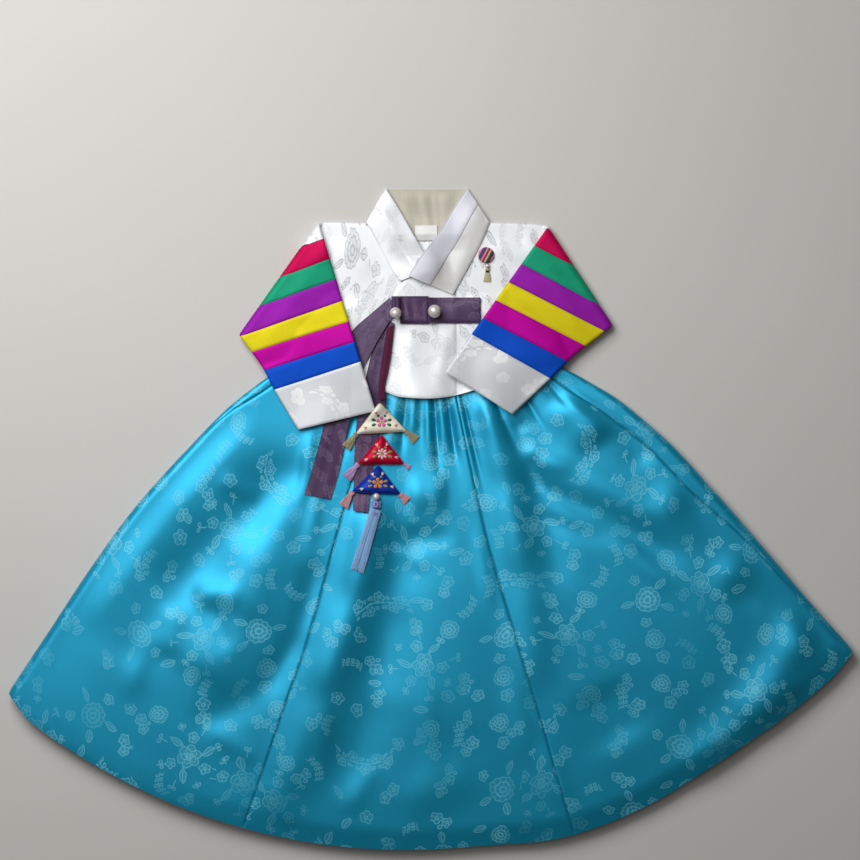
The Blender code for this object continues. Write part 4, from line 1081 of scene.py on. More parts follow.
@dataclass
class Skirt:
    """The gathered skirt: three front widths, two back widths that wrap round the sides, and its waistband."""

    slot: str = "turquoise_brocade"
    spacing: float = 3.6  # distance between two points of the front at its hem
    rows: int = 150
    back_rows: int = 80
    least_gap: float = 1.0
    fan_x: float = -8.5
    fan_y: float = 324.0
    waist: float = 130.0
    wall: float = 1.6  # thickness of the solids' wall, whose middle the cloth follows
    cloth: float = 0.7  # thickness of the skirt's cloth as it shows
    side_angles: Rows = (
        # radius, left angle, right angle
        (130, -38.0, 38.0), (170, -39.4, 39.6), (205, -42.0, 42.6), (245, -45.3, 46.0), (300, -46.4, 48.2),
        (350, -46.1, 48.4), (430, -45.4, 47.5), (520, -43.9, 46.4), (600, -42.5, 45.6), (690, -41.3, 45.1),
    )
    hem: Rows = (
        # angle, radius of the hem's edge
        (-46, 680), (-41.4, 686), (-38, 694.5), (-30, 693), (-16, 691), (-4, 688), (5, 685.5), (13, 691),
        (20, 686), (28, 675), (34, 671.5), (41.5, 671), (48, 660),
    )
    hem_fall: Rows = (
        # angle, how far the hem's last 25 mm bend down
        (-46, 0.5), (-25, 1.0), (-12, 3.6), (10, 4.4), (20, 5.2), (34, 5.0), (48, 3.2),
    )
    section: Rows = (
        # share of the way from waist to hem, middle height, side fold radius
        (0.0, 3.7, 1.8), (0.10, 5.0, 2.0), (0.20, 9.0, 4.2), (0.32, 14.5, 6.8), (0.50, 20.0, 8.6),
        (0.75, 23.5, 9.6), (1.0, 19.0, 9.4),
    )
    front_seams: Rows = (
        # radius, left front seam angle, right front seam angle
        (130, -15.0, 11.2), (320, -15.2, 11.5), (440, -15.3, 12.5), (560, -15.9, 13.5), (690, -16.5, 14.0),
    )
    side_seams: Rows = (
        # radius, left and right: way round the fold from its outermost line, plus is on the front
        (130, 9.0, 9.0), (200, 12.0, 15.0), (250, 13.0, 22.0), (330, 4.0, 25.0), (420, -6.0, 24.0),
        (510, -11.0, 15.0), (600, -13.0, 9.0), (690, -13.0, 4.0),
    )
    centre_back: float = 1.0  # angle of the centre back seam
    band: tuple[float, float] = (0.9, 17.9)  # the waistband's edges, up from the waist
    band_angle: float = 37.0  # half of the angle that the waistband takes
    gather_rows: Rows = (
        # the gathers under the waistband: angle, half width in degrees, height, share of the length it reaches
        (-24, 2.4, 1.6, 0.36), (-14.5, 2.0, 2.0, 0.32), (-8.2, 1.3, 2.4, 0.28), (-2.6, 1.0, 2.6, 0.20),
        (1.8, 1.0, 3.6, 0.27), (6.0, 0.9, 2.6, 0.24), (10.8, 1.3, 3.4, 0.40), (19.0, 1.5, 2.0, 0.26),
        (27, 1.8, 3.0, 0.26), (34.5, 1.8, 2.6, 0.28),
    )
    tuck_rows: Rows = (
        # the dips between the gathers, laid out as the gathers are
        (-19, 0.8, 1.4, 0.34), (-11.2, 0.7, 1.8, 0.28), (-5.2, 0.7, 2.4, 0.25), (3.9, 0.6, 2.8, 0.29),
        (8.2, 0.6, 3.0, 0.27), (13.0, 0.45, 2.2, 0.34), (22.4, 0.7, 2.4, 0.30), (30.6, 0.7, 2.2, 0.28),
        (38.5, 0.6, 1.6, 0.30),
    )
    folds: Rows = (
        # start x, start y, end x, end y, half width, height; below 0 for a trough
        # the left side's fold along the rim and the hollow inside it
        (-195, 97, -305, -2, 33, 3.4), (-305, -2, -382, -101, 35, 3.6), (-138, 55, -222, -15, 31, -6.5),
        (-222, -15, -290, -88, 33, -7.5), (-290, -88, -327, -160, 35, -2.6),
        # the left side's slumped bulge, the trough round its foot and the hollow in it
        (-145, 42, -178, -29, 22, 4.0), (-184, -24, -206, -112, 37, 6.5), (-209, -112, -247, -174, 33, 5.5),
        (-123, -48, -140, -123, 15, -3.5), (-140, -123, -182, -191, 16, -4.5),
        (-182, -191, -253, -224, 19, -3.2), (-242, -92, -220, -141, 14, -3.0),
        (-277, -97, -288, -147, 15, 2.6), (-257, -79, -209, -86, 14, 3.0),
        # the fold left of the middle and the valley beside it
        (-61, 20, -81, -90, 20, 9.0), (-81, -90, -118, -189, 24, 8.0), (-118, -189, -162, -306, 25, 5.0),
        (-24, -13, -39, -90, 24, -3.6), (-39, -90, -59, -189, 29, -5.4), (-59, -189, -94, -292, 30, -4.4),
        # the middle, and the sag under the gathers
        (22, -57, 20, -233, 51, 3.0), (-22, 27, 16, 27, 19, 4.0), (-28, -22, 22, -20, 13, -2.0),
        (-33, -310, 44, -279, 24, 2.5),
        # the fold right of the middle and the valley beside it
        (60, 134, 82, 42, 18, 7.0), (82, 42, 102, -57, 20, 6.0), (102, -57, 115, -178, 22, 4.0),
        (99, 108, 117, 31, 13, -4.0), (117, 31, 143, -68, 18, -2.5),
        # the right side's slanting creases
        (91, 73, 154, 55, 12, 3.0), (154, 55, 286, -15, 18, 3.5), (104, 42, 179, 7, 12, -3.2),
        (179, 7, 271, -46, 15, -3.0), (106, 7, 187, -24, 11, -1.8), (148, 134, 185, 88, 26, 7.5),
        (220, 103, 240, 62, 20, -3.5), (102, 99, 115, 68, 10, 3.0),
        # the bumps along the right rim
        (249, 5, 300, 57, 20, 4.2), (311, -79, 359, -33, 20, 4.2), (421, -92, 394, -161, 24, 8.5),
        (394, -161, 347, -222, 26, 8.5), (347, -222, 284, -279, 24, 5.0), (183, -189, 212, -242, 35, -3.4),
    )
    creases: Rows = (
        # smaller creases, laid out as the folds are
        (-129, 97, -140, 20, 8, 2.5),
        (-228, 44, -190, 24, 10, 1.6), (-118, 60, -132, -30, 8, 1.3), (-36, -34, -4, -52, 9, 1.3),
        (52, -10, 66, -92, 8, 1.4), (200, -20, 262, -74, 12, 1.5), (300, -60, 356, -96, 11, -1.3),
        (-300, -120, -330, -190, 13, 1.6), (-240, -230, -190, -262, 12, 1.6),
        (90, -180, 108, -256, 13, 1.5), (-6, -180, 6, -290, 14, 1.6), (-110, -200, -124, -290, 12, 1.5),
        (-180, -290, -150, -330, 12, 1.5), (-60, -270, -90, -318, 12, 1.5),
        (120, -250, 150, -310, 12, 1.6),
    )

    def plan(self, radius: Array, angle: Array) -> tuple[Array, Array]:
        """Place in the skirt's fan; angle in degrees."""
        turn = np.radians(angle)
        return self.fan_x + radius * np.sin(turn), self.fan_y - radius * np.cos(turn)

    def radius(self, share: Array, angle: Array) -> Array:
        """Radius at a share of the way from the waist to the hem."""
        return self.waist + share * (through(self.hem, angle) - self.waist)

    def lines(self, share: Array) -> tuple[Array, Array, Array]:
        """Radius at the middle, half a seam's gap in degrees, and the side fold's radius."""
        radius = self.radius(share, 0.0)
        return radius, np.degrees(SEAM / 2 / radius), through(self.section, share)[..., 1]

    def back_z(self, x: Array, y: Array) -> Array:
        """Middle of the back sheet: on the floor, or on the jacket's back."""
        return self.wall / 2 + 1.8 * ease((y - through(JACKET_HEM, x) + 34.0) / 30.0)

    def gathers(self, share: Array, angle: Array) -> Array:
        """Sum of the gathers and the tucks between them.

        Args:
            share: share of the way down.
            angle: angle in the fan.

        Returns:
            The height that they add.
        """
        total = np.zeros(np.broadcast(share, angle).shape)
        for rows, sign in ((self.gather_rows, 1.0), (self.tuck_rows, -1.0)):
            for middle, half, height, reach in rows:
                rise = 0.28 + 0.72 * ease((share - 0.09) / 0.08)
                fade = 1.0 - ease((share - 0.16) / (reach - 0.16))
                wide = half * (1.0 + 0.6 * share / reach)
                total += sign * height * rise * fade * np.exp(-(((angle - middle) / wide) ** 2))
        return total

    def front(self, share: Array, angle: Array) -> Array:
        """Middle of the front's cloth at a share of the way down and an angle of the fan.

        Args:
            share: share of the way down.
            angle: angle in the fan.

        Returns:
            The points.
        """
        radius = self.radius(share, angle)
        x, y = self.plan(radius, angle)
        left, right = np.moveaxis(through(self.side_angles, radius), -1, 0)
        middle, fold = np.moveaxis(through(self.section, share), -1, 0)
        edge = np.radians(np.minimum(angle - left, right - angle)) * radius - fold
        edge = np.maximum(edge, 0.0)
        rise = 1.0 - np.exp(-((edge / 48.0) ** 2))
        base = self.back_z(x, y)
        clear = ease((share - 0.085) / 0.07)
        extra = self.gathers(share, angle) + ridges(x, y, self.folds + self.creases) * clear
        height = 2 * fold + (middle - 2 * fold) * rise + extra * ease(edge / 34.0)
        height = height - through(self.hem_fall, angle) * ease((share - 0.955) / 0.045)
        least = self.wall + self.least_gap
        height = least + np.logaddexp(0.0, (height - least) * 1.2) / 1.2
        return stacked(x, y, base + height)

    def side(self, share: Array, side: int, way: Array) -> Array:
        """Middle of the cloth round a side.

        Args:
            share: share of the way down.
            side: -1 left, 1 right.
            way: length round the fold from its outermost line, plus on the front.

        Returns:
            The points.
        """
        column = 0 if side < 0 else 1
        radius = self.radius(share, 44.0 * side)
        for _ in range(3):
            fold = through(self.section, share)[..., 1]
            turn = np.clip(way / fold, -math.pi / 2, math.pi / 2)
            flat = np.maximum(np.abs(way) - fold * math.pi / 2, 0.0)
            inward = np.where(flat > 0, fold + flat, fold * (1 - np.cos(turn)))
            angle = through(self.side_angles, radius)[..., column] - side * np.degrees(inward / radius)
            radius = self.radius(share, angle)
        x, y = self.plan(radius, angle)
        round_z = self.back_z(x, y) + fold * (1 + np.sin(turn))
        front = self.front(share, angle)[..., 2]
        return stacked(x, y, np.where(way >= fold * math.pi / 2, front, round_z))

    def panel(self, name: str, mid: Array, node: str, finish: Material, cut: Cut, sides: str) -> None:
        """Makes one width of the skirt with its seam edges rolled under.

        Args:
            name: the piece's name.
            mid: the middle of its cloth.
            node: the solid it stands for.
            finish: its material.
            cut: its flat cut.
            sides: the edges that are rolled under.
        """
        normal = grid_normals(mid)
        normal = normal * np.sign((normal[..., 2:] * (1 if "front" in node else -1)).sum())
        mid = rolled(mid, normal, sides)
        add_cloth(name, mid, self.cloth, finish, self.slot, [node], cut, normal, turn=17.0 * len(name))

    def build(self, finish: Material, band: Material) -> None:
        """Makes the widths and the waistband.

        Args:
            finish: the skirt's material.
            band: the waistband's material.
        """
        low = np.linspace(0, 1, self.rows)[:, None]
        share = low * (0.62 + 0.38 * low)
        radius, gap, _ = self.lines(share)
        seams = through(self.front_seams, radius)
        across = edged(int(335 / self.spacing), 330.0)[None, :]
        left, right = seams[..., 0] + gap, seams[..., 1] - gap
        mid = self.front(share, left + (right - left) * across)
        cut = Cut(335, 580, Held.GATHERED, ("skirt_back_left", "skirt_back_right"), 150000)
        self.panel("Skirt_front_width_centre", mid, "skirt_front_centre", finish, cut, "lrb")
        for side, word in ((-1, "left"), (1, "right")):
            self.build_side(side, word, share, finish)
        across, outward, up = tube_loop(2 * self.section[0][2] + 0.2, 60, 6).T
        rows = []
        for radius in np.linspace(self.waist - self.band[0], self.waist - self.band[1], 9):
            spread = np.degrees((self.section[0][2] + 0.1) / radius)
            angle = spread - self.band_angle + 2 * (self.band_angle - spread) * across + spread * outward
            rows.append(stacked(*self.plan(radius, angle), JACKET_WALL + 0.4 + 0.75 + up))
        add_cloth(
            "Skirt_waistband", np.array(rows), 1.1, band, "waistband_cotton", ["skirt_waistband"],
            Cut(332, 18, Held.LAID, ("jacket_half_under", "jacket_half_over")),
        )

    def build_side(self, side: int, word: str, share: Array, finish: Material) -> None:
        """Makes the front and back widths of one side.

        Args:
            side: -1 left, 1 right.
            word: the side's name.
            share: rows of the front.
            finish: its material.
        """
        column = 0 if side < 0 else 1
        radius, gap, fold = self.lines(share)
        quarter = fold * math.pi / 2
        seam = through(self.front_seams, radius)[..., column]
        flat = np.radians(np.abs(through(self.side_angles, radius)[..., column] - seam)) * radius
        start_way = flat - fold + quarter
        end = through(self.side_seams, radius)[..., column] + SEAM / 2
        way = start_way + (end - start_way) * edged(int(370 / self.spacing), 365.0)[None, :]
        mid = self.side(share, side, way)
        mid[:, :1] = self.front(share, seam + side * gap)
        cut = Cut(340, 570, Held.GATHERED, (f"skirt_back_{word}",), 140000)
        self.panel(f"Skirt_front_width_{word}", mid, f"skirt_front_{word}", finish, cut, "lrb")

        share = np.linspace(0, 1, self.back_rows)[:, None] ** 1.2
        radius, gap, fold = self.lines(share)
        quarter = fold * math.pi / 2
        start_way = through(self.side_seams, radius)[..., column] - SEAM / 2
        full = np.radians(np.abs(through(self.side_angles, radius)[..., column] - self.centre_back)) * radius
        end = -quarter - full + fold
        turned = start_way + (-quarter - start_way) * np.linspace(0, 1, 22)[None, :]
        level = -quarter + (end + quarter) * np.linspace(0, 1, 56)[None, 1:]
        mid = self.side(share, side, np.concatenate([turned, level], axis=1))
        x, y = self.plan(self.radius(share, self.centre_back), self.centre_back + side * gap)
        mid[:, -1:] = stacked(x, y, self.back_z(x, y))
        cut = Cut(470, 570, Held.GATHERED, (), 200000)
        self.panel(f"Skirt_back_width_{word}", mid, f"skirt_back_{word}", finish, cut, "lrb")


# ---------------------------------------------------------------- jacket


def tube_loop(height: float, sheet_columns: int, round_steps: int) -> Array:
    """Section of a flattened tube that ends where it starts: share across, outward end in radii, height.

    Args:
        height: the tube's.
        sheet_columns: how many points across a sheet.
        round_steps: how many round an end.

    Returns:
        The section, one row for each point.
    """
    radius = height / 2
    flat = np.linspace(0, 1, sheet_columns)
    turn = np.radians(np.linspace(-90, 90, round_steps + 2)[1:-1])
    half = sheet_columns // 2
    back = [(t, 0.0, 0.0) for t in flat]
    right = [(1.0, math.cos(a), radius + radius * math.sin(a)) for a in turn]
    front = [(t, 0.0, height) for t in flat[::-1]]
    left = [(0.0, -math.cos(a), radius + radius * math.sin(a)) for a in turn[::-1]]
    return np.array(front[half:] + left + back + right + front[: half + 1])


@dataclass
class Sleeve:
    """One sleeve: a flattened tube of stripes that goes round a slanting fold and lies back over the front.

    Cloth positions are (p, q): p runs down the fold line, and q across it, away from the jacket's body while
    unfolded. Sleeve positions are (a, b): a runs from the shoulder end to the wrist, b across the sleeve.
    """

    side: int
    fold_top: tuple[float, float]
    fold_end: tuple[float, float]
    heading: tuple[float, float]
    stripes: Sequence[tuple[str, float, float]]
    fold_room: float = 1.0
    fold_width: float = 12.0
    puff: float = 0.45
    widths: Rows = (
        # length along the sleeve back from its wrist, width
        (0.0, 88.5), (52.0, 100.0), (78.0, 105.0), (101.0, 112.0), (125.0, 119.5), (150.0, 126.0),
        (175.0, 133.0), (200.0, 140.0),
    )
    centre: float = TUBE_HEIGHT + fold_room
    radius: float = fold_width / math.pi
    lift: Height | None = None

    def __post_init__(self) -> None:
        """Works out the fold's and the sleeve's directions."""
        self.top = np.array(self.fold_top, float)
        line = np.array(self.fold_end, float) - self.top
        self.down = line / np.hypot(*line)
        self.out = np.array([self.down[1], -self.down[0]]) * -self.side
        self.origin = self.top - self.out * self.centre
        self.axis = np.array(self.heading, float) / np.hypot(*self.heading)
        self.across = np.array([-self.axis[1], self.axis[0]]) * self.side
        self.length = self.stripes[-1][1]
        self.word = "left" if self.side < 0 else "right"

    def width(self, a: Array) -> Array:
        """Width of the sleeve."""
        return through(self.widths, self.length - np.asarray(a, float))

    def cloth(self, a: Array, b: Array) -> tuple[Array, Array]:
        """(p, q) of a sleeve position."""
        place = self.top + np.multiply.outer(a, self.axis) + np.multiply.outer(b, self.across)
        offset = place - self.origin
        return offset @ self.down, self.fold_width - offset @ self.out

    def cloth_at(self, x: Array, y: Array) -> tuple[Array, Array]:
        """(p, q) of a plan position on the unfolded cloth."""
        offset = np.stack(np.broadcast_arrays(x, y), axis=-1) - self.origin
        return offset @ self.down, offset @ self.out

    def plan(self, p: Array, q: Array) -> tuple[Array, Array]:
        """Unfolded plan position of (p, q)."""
        place = self.origin + np.multiply.outer(p, self.down) + np.multiply.outer(q, self.out)
        return place[..., 0], place[..., 1]

    def seam_x(self, b: float) -> float:
        """x of the armhole seam on the unfolded cloth."""
        _, begin, slant = self.stripes[0]
        p, q = self.cloth(begin + slant * b - SEAM, b)
        return float(self.plan(p, q)[0])

    def folded(self, points: Array) -> Array:
        """Final positions of points given as (p, q, z) on the unfolded cloth.

        Args:
            points: the points.

        Returns:
            Their x, y and z.
        """
        p, q, z = np.moveaxis(points, -1, 0)
        reach = self.centre - z
        turn = np.clip(q, 0.0, self.fold_width) / self.radius
        over = np.maximum(q - self.fold_width, 0.0)
        out = np.minimum(q, 0.0) + np.where(q > 0, reach * np.sin(turn), 0.0) - over
        x, y = self.plan(p, out)
        height = self.centre - reach * np.cos(turn)
        if self.lift is None:
            return stacked(x, y, height)
        offset = np.stack([x, y], axis=-1) - self.top
        b, a = offset @ self.across, offset @ self.axis
        swell = np.sin(math.pi * np.clip(b / self.width(a), 0, 1)) * ease((over - 3.0) / 22.0)
        swell = swell * (0.55 + 0.45 * np.sin(math.pi * np.clip(a / self.length, 0, 1)))
        drape = np.maximum(self.lift(x, y) + REST - self.centre - self.fold_room, 0.0)
        height = height + drape * ease(over / 26.0)
        return stacked(x, y, height + np.where(over > 0, (reach - self.fold_room) * self.puff * swell, 0.0))

    def add(
        self, name: str, flat: Array, thickness: float, finish: Material, slot: str, node: str, cut: Cut
    ) -> None:
        """Makes a cloth given on the unfolded sleeve, and folds it.

        Args:
            name: the piece's name.
            flat: grid of (p, q, z).
            thickness: the cloth's.
            finish: its material.
            slot: the record's material slot.
            node: the solid it stands for.
            cut: its flat cut.
        """
        normal = grid_normals(flat)
        upper, lower = self.folded(flat + normal * thickness / 2), self.folded(flat - normal * thickness / 2)
        LAID.add(upper)
        LAID.add(lower)
        points, faces = shell(upper, lower)
        across, down = grid_lengths(flat)
        place = np.stack([across + 37.0 * len(node), down + 11.0 * len(name)], -1).reshape(-1, 2)
        add_piece(name, points, faces, finish, slot, [node], np.concatenate([place, place]), cut)

    def build(self, satins: dict[str, Material], brocade: Material) -> None:
        """Makes the stripes and the cuff, each a short piece of the tube.

        Args:
            satins: the stripes' materials.
            brocade: the cuff's material.
        """
        self.lift = LAID.rest(14)
        height = TUBE_HEIGHT - JACKET_WALL
        inset = height / 2 + JACKET_WALL / 2
        for k, (colour, begin, slant) in enumerate(self.stripes[:-1]):
            _, stop, next_slant = self.stripes[k + 1]
            shares = edged(int((stop - begin) / 1.8), stop - begin)
            across, outward, up = tube_loop(height, 52, 5).T
            rows = []
            for t in shares:
                near = min(t, 1 - t) * (stop - begin)
                tuck = 0.55 * math.exp(-((near / 0.9) ** 2))
                slope = slant + (next_slant - slant) * t
                a = begin + (stop - begin) * t + SEAM / 2 * (1 - 2 * t)
                b = inset + (self.width(a) - TUBE_HEIGHT) * across + height / 2 * outward
                p, q = self.cloth(a + slope * b, b)
                z = JACKET_WALL / 2 + tuck + up * (1 - 2 * tuck / height)
                rows.append(stacked(p, q, z))
            cut = Cut(
                2 * float(self.width((begin + stop) / 2)), stop - begin, Held.FOLDED,
                ("jacket_half_under", "jacket_half_over", "jacket_overlap"),
            )
            cuff = colour == "cuff"
            self.add(
                f"Sleeve_{self.word}_{colour}", np.array(rows), 0.6, brocade if cuff else satins[colour],
                "white_brocade" if cuff else f"{colour}_satin", f"sleeve_{self.word}_{colour}", cut,
            )


@dataclass
class Jacket:
    """The short jacket: two halves that go over the shoulders and the overlapping front; its collar and label
    are made by Collar.
    """

    left: Sleeve
    right: Sleeve
    thickness: float = 0.8
    top_line: Rows = (
        # x, y of the shoulder line
        (-142, 325.3), (-120, 326.3), (-70, 325.5), (66, 325.5), (110, 324.6), (133, 321.6),
    )
    under_edge: Rows = (
        # share of the way from shoulder to hem, x of the inner edge
        (0.0, -70.0), (0.08, -56.0), (0.25, -37.0), (0.34, -28.0), (1.0, -28.0),
    )
    over_edge: Rows = ((0.0, 66.0), (0.08, 51.0), (0.20, 41.0), (0.32, 31.0), (0.42, 29.0), (1.0, 29.0))
    neck_edge: Rows = (
        # share of the way from shoulder to hem, share of the way from the neck's side to the centre back
        (0.0, 0.0), (0.025, 0.32), (0.05, 0.80), (0.09, 1.0), (1.0, 1.0),
    )
    overlap_edge: Rows = (
        # y, x of the free edge of the overlapping front
        (138.0, -54.5), (180.0, -48.0), (214.0, -43.5), (244.0, -40.0), (263.0, -27.0), (274.0, -18.0),
    )
    overlap_step: float = 2.1
    creases: Rows = (
        # start x, start y, end x, end y, half width, height
        (-98, 300, -66, 270, 12, 0.9), (-78, 296, -52, 268, 5, -0.8), (-120, 250, -84, 214, 13, 0.9),
        (-128, 214, -96, 176, 8, -1.0), (-70, 200, -52, 150, 7, 1.1), (-20, 206, -26, 150, 8, 1.0),
        (20, 200, 10, 146, 9, 1.3), (64, 210, 60, 158, 8, -1.0), (92, 226, 112, 176, 9, 1.4),
        (70, 300, 112, 284, 10, 1.2), (84, 262, 122, 236, 8, -1.0), (44, 236, 84, 214, 8, 1.1),
        (-112, 196, -60, 164, 6, 1.2), (104, 310, 128, 276, 7, 1.1), (-34, 126, 22, 126, 56, 6.0),
    )

    def front_height(self, under: Height) -> Height:
        """Height of the middle of the front sheet, given what lies under it.

        Args:
            under: height of what lies under it.

        Returns:
            A function of x and y.
        """

        def height(x: Array, y: Array) -> Array:
            """The height at a place."""
            low = TUBE_HEIGHT - JACKET_WALL / 2
            wanted = under(x, y) + 2 * REST + JACKET_WALL / 2
            free = ease((x + 143.5) / 9.5) * ease((141.0 - x) / 12.0)
            raised = low + np.maximum(wanted - low, 0.0) * free
            return raised + np.maximum(ridges(x, y, self.creases), -0.3) * free

        return height

    def build(self, brocade: Material) -> None:
        """Makes the halves and the overlap.

        Args:
            brocade: their material.
        """
        front = self.front_height(LAID.rest(12))
        back_rows = np.concatenate([np.linspace(1.0, 0.1, 24), [0.09, 0.07, 0.05, 0.035, 0.025, 0.012, 0.0]])
        front_rows = np.linspace(0, 1, 84)
        turns = np.radians(np.linspace(-75, 75, 6))
        radius = (TUBE_HEIGHT - JACKET_WALL) / 2
        low = JACKET_WALL / 2
        across = edged(64, 130.0)
        for sleeve, edge, word in (
            (self.left, self.under_edge, "under"), (self.right, self.over_edge, "over"),
        ):
            side = sleeve.side
            top_x, foot_x = sleeve.seam_x(0.0), sleeve.seam_x(140.0)

            def sheet(rows: Array, inner: Array) -> tuple[Array, Array]:
                """Plan of one sheet: rows from the shoulder down, columns from the armhole in."""
                outer = top_x + (foot_x - top_x) * rows
                x = outer[:, None] + (inner - outer)[:, None] * across[None, :]
                top = through(self.top_line, x) - radius - low
                return x, top + (through(JACKET_HEM, x) - top) * rows[:, None]

            centre = side * SEAM / 2
            neck = through(self.neck_edge, back_rows)
            bx, by = sheet(back_rows, edge[0][1] + (centre - edge[0][1]) * neck)
            fx, fy = sheet(front_rows, through(edge, front_rows) + side * SEAM / 2)
            arc_x = fx[:1].repeat(len(turns), 0)
            arc_y = fy[:1] + radius * np.cos(turns)[:, None]
            arc_z = np.broadcast_to(low + radius + radius * np.sin(turns)[:, None], arc_x.shape)
            x, y = np.concatenate([bx, arc_x, fx]), np.concatenate([by, arc_y, fy])
            z = np.concatenate([np.full(bx.shape, low), arc_z, front(fx, fy)])
            flat = stacked(*sleeve.cloth_at(x, y), z)
            node = f"jacket_half_{word}"
            cut = Cut(
                175, 385, Held.LAID, ("skirt_front_centre", "skirt_front_left", "skirt_front_right"), 48000
            )
            sleeve.add(node.capitalize(), flat, self.thickness, brocade, "white_brocade", node, cut)
        self.build_overlap(front, brocade)

    def build_overlap(self, front: Height, brocade: Material) -> None:
        """Makes the extra width sewn to the overlapping front.

        Args:
            front: height of the front sheet.
            brocade: its material.
        """
        rows = edged(56, 130.0)[:, None]
        across = edged(34, 76.0)[None, :]
        right = self.over_edge[-1][1] - SEAM / 2
        low_left = self.overlap_edge[0][1]
        x_hem = low_left + (right - low_left) * across
        y_top = 271.0 + (253.0 - 271.0) * across
        y = y_top + (through(JACKET_HEM, x_hem) - y_top) * rows
        left = through(self.overlap_edge, y)
        x = left + (right - left) * across
        mid = stacked(x, y, front(x, y) + self.overlap_step * ease((14.0 - x) / 32.0))
        normal = grid_normals(mid)
        normal = normal * np.sign(normal[..., 2:].sum())
        mid = rolled(mid, normal, "lrb", depth=0.6)
        cut = Cut(86, 138, Held.LAID, ("jacket_half_under",), 9700)
        add_cloth(
            "Jacket_overlap", mid, self.thickness, brocade, "white_brocade", ["jacket_overlap"], cut, normal,
            turn=8,
        )


def strip(rows: Rows, shares: Array, across: Array) -> tuple[Array, Array]:
    """Plan grid between two edges given in rows of (share, outer x, y, inner x, y).

    Args:
        rows: the edges.
        shares: shares of the way along.
        across: shares of the way across.

    Returns:
        x and y of the grid.
    """
    edges = through(rows, shares)
    outer, inner = edges[:, None, 0:2], edges[:, None, 2:4]
    grid = outer + (inner - outer) * np.asarray(across)[None, :, None]
    return grid[..., 0], grid[..., 1]


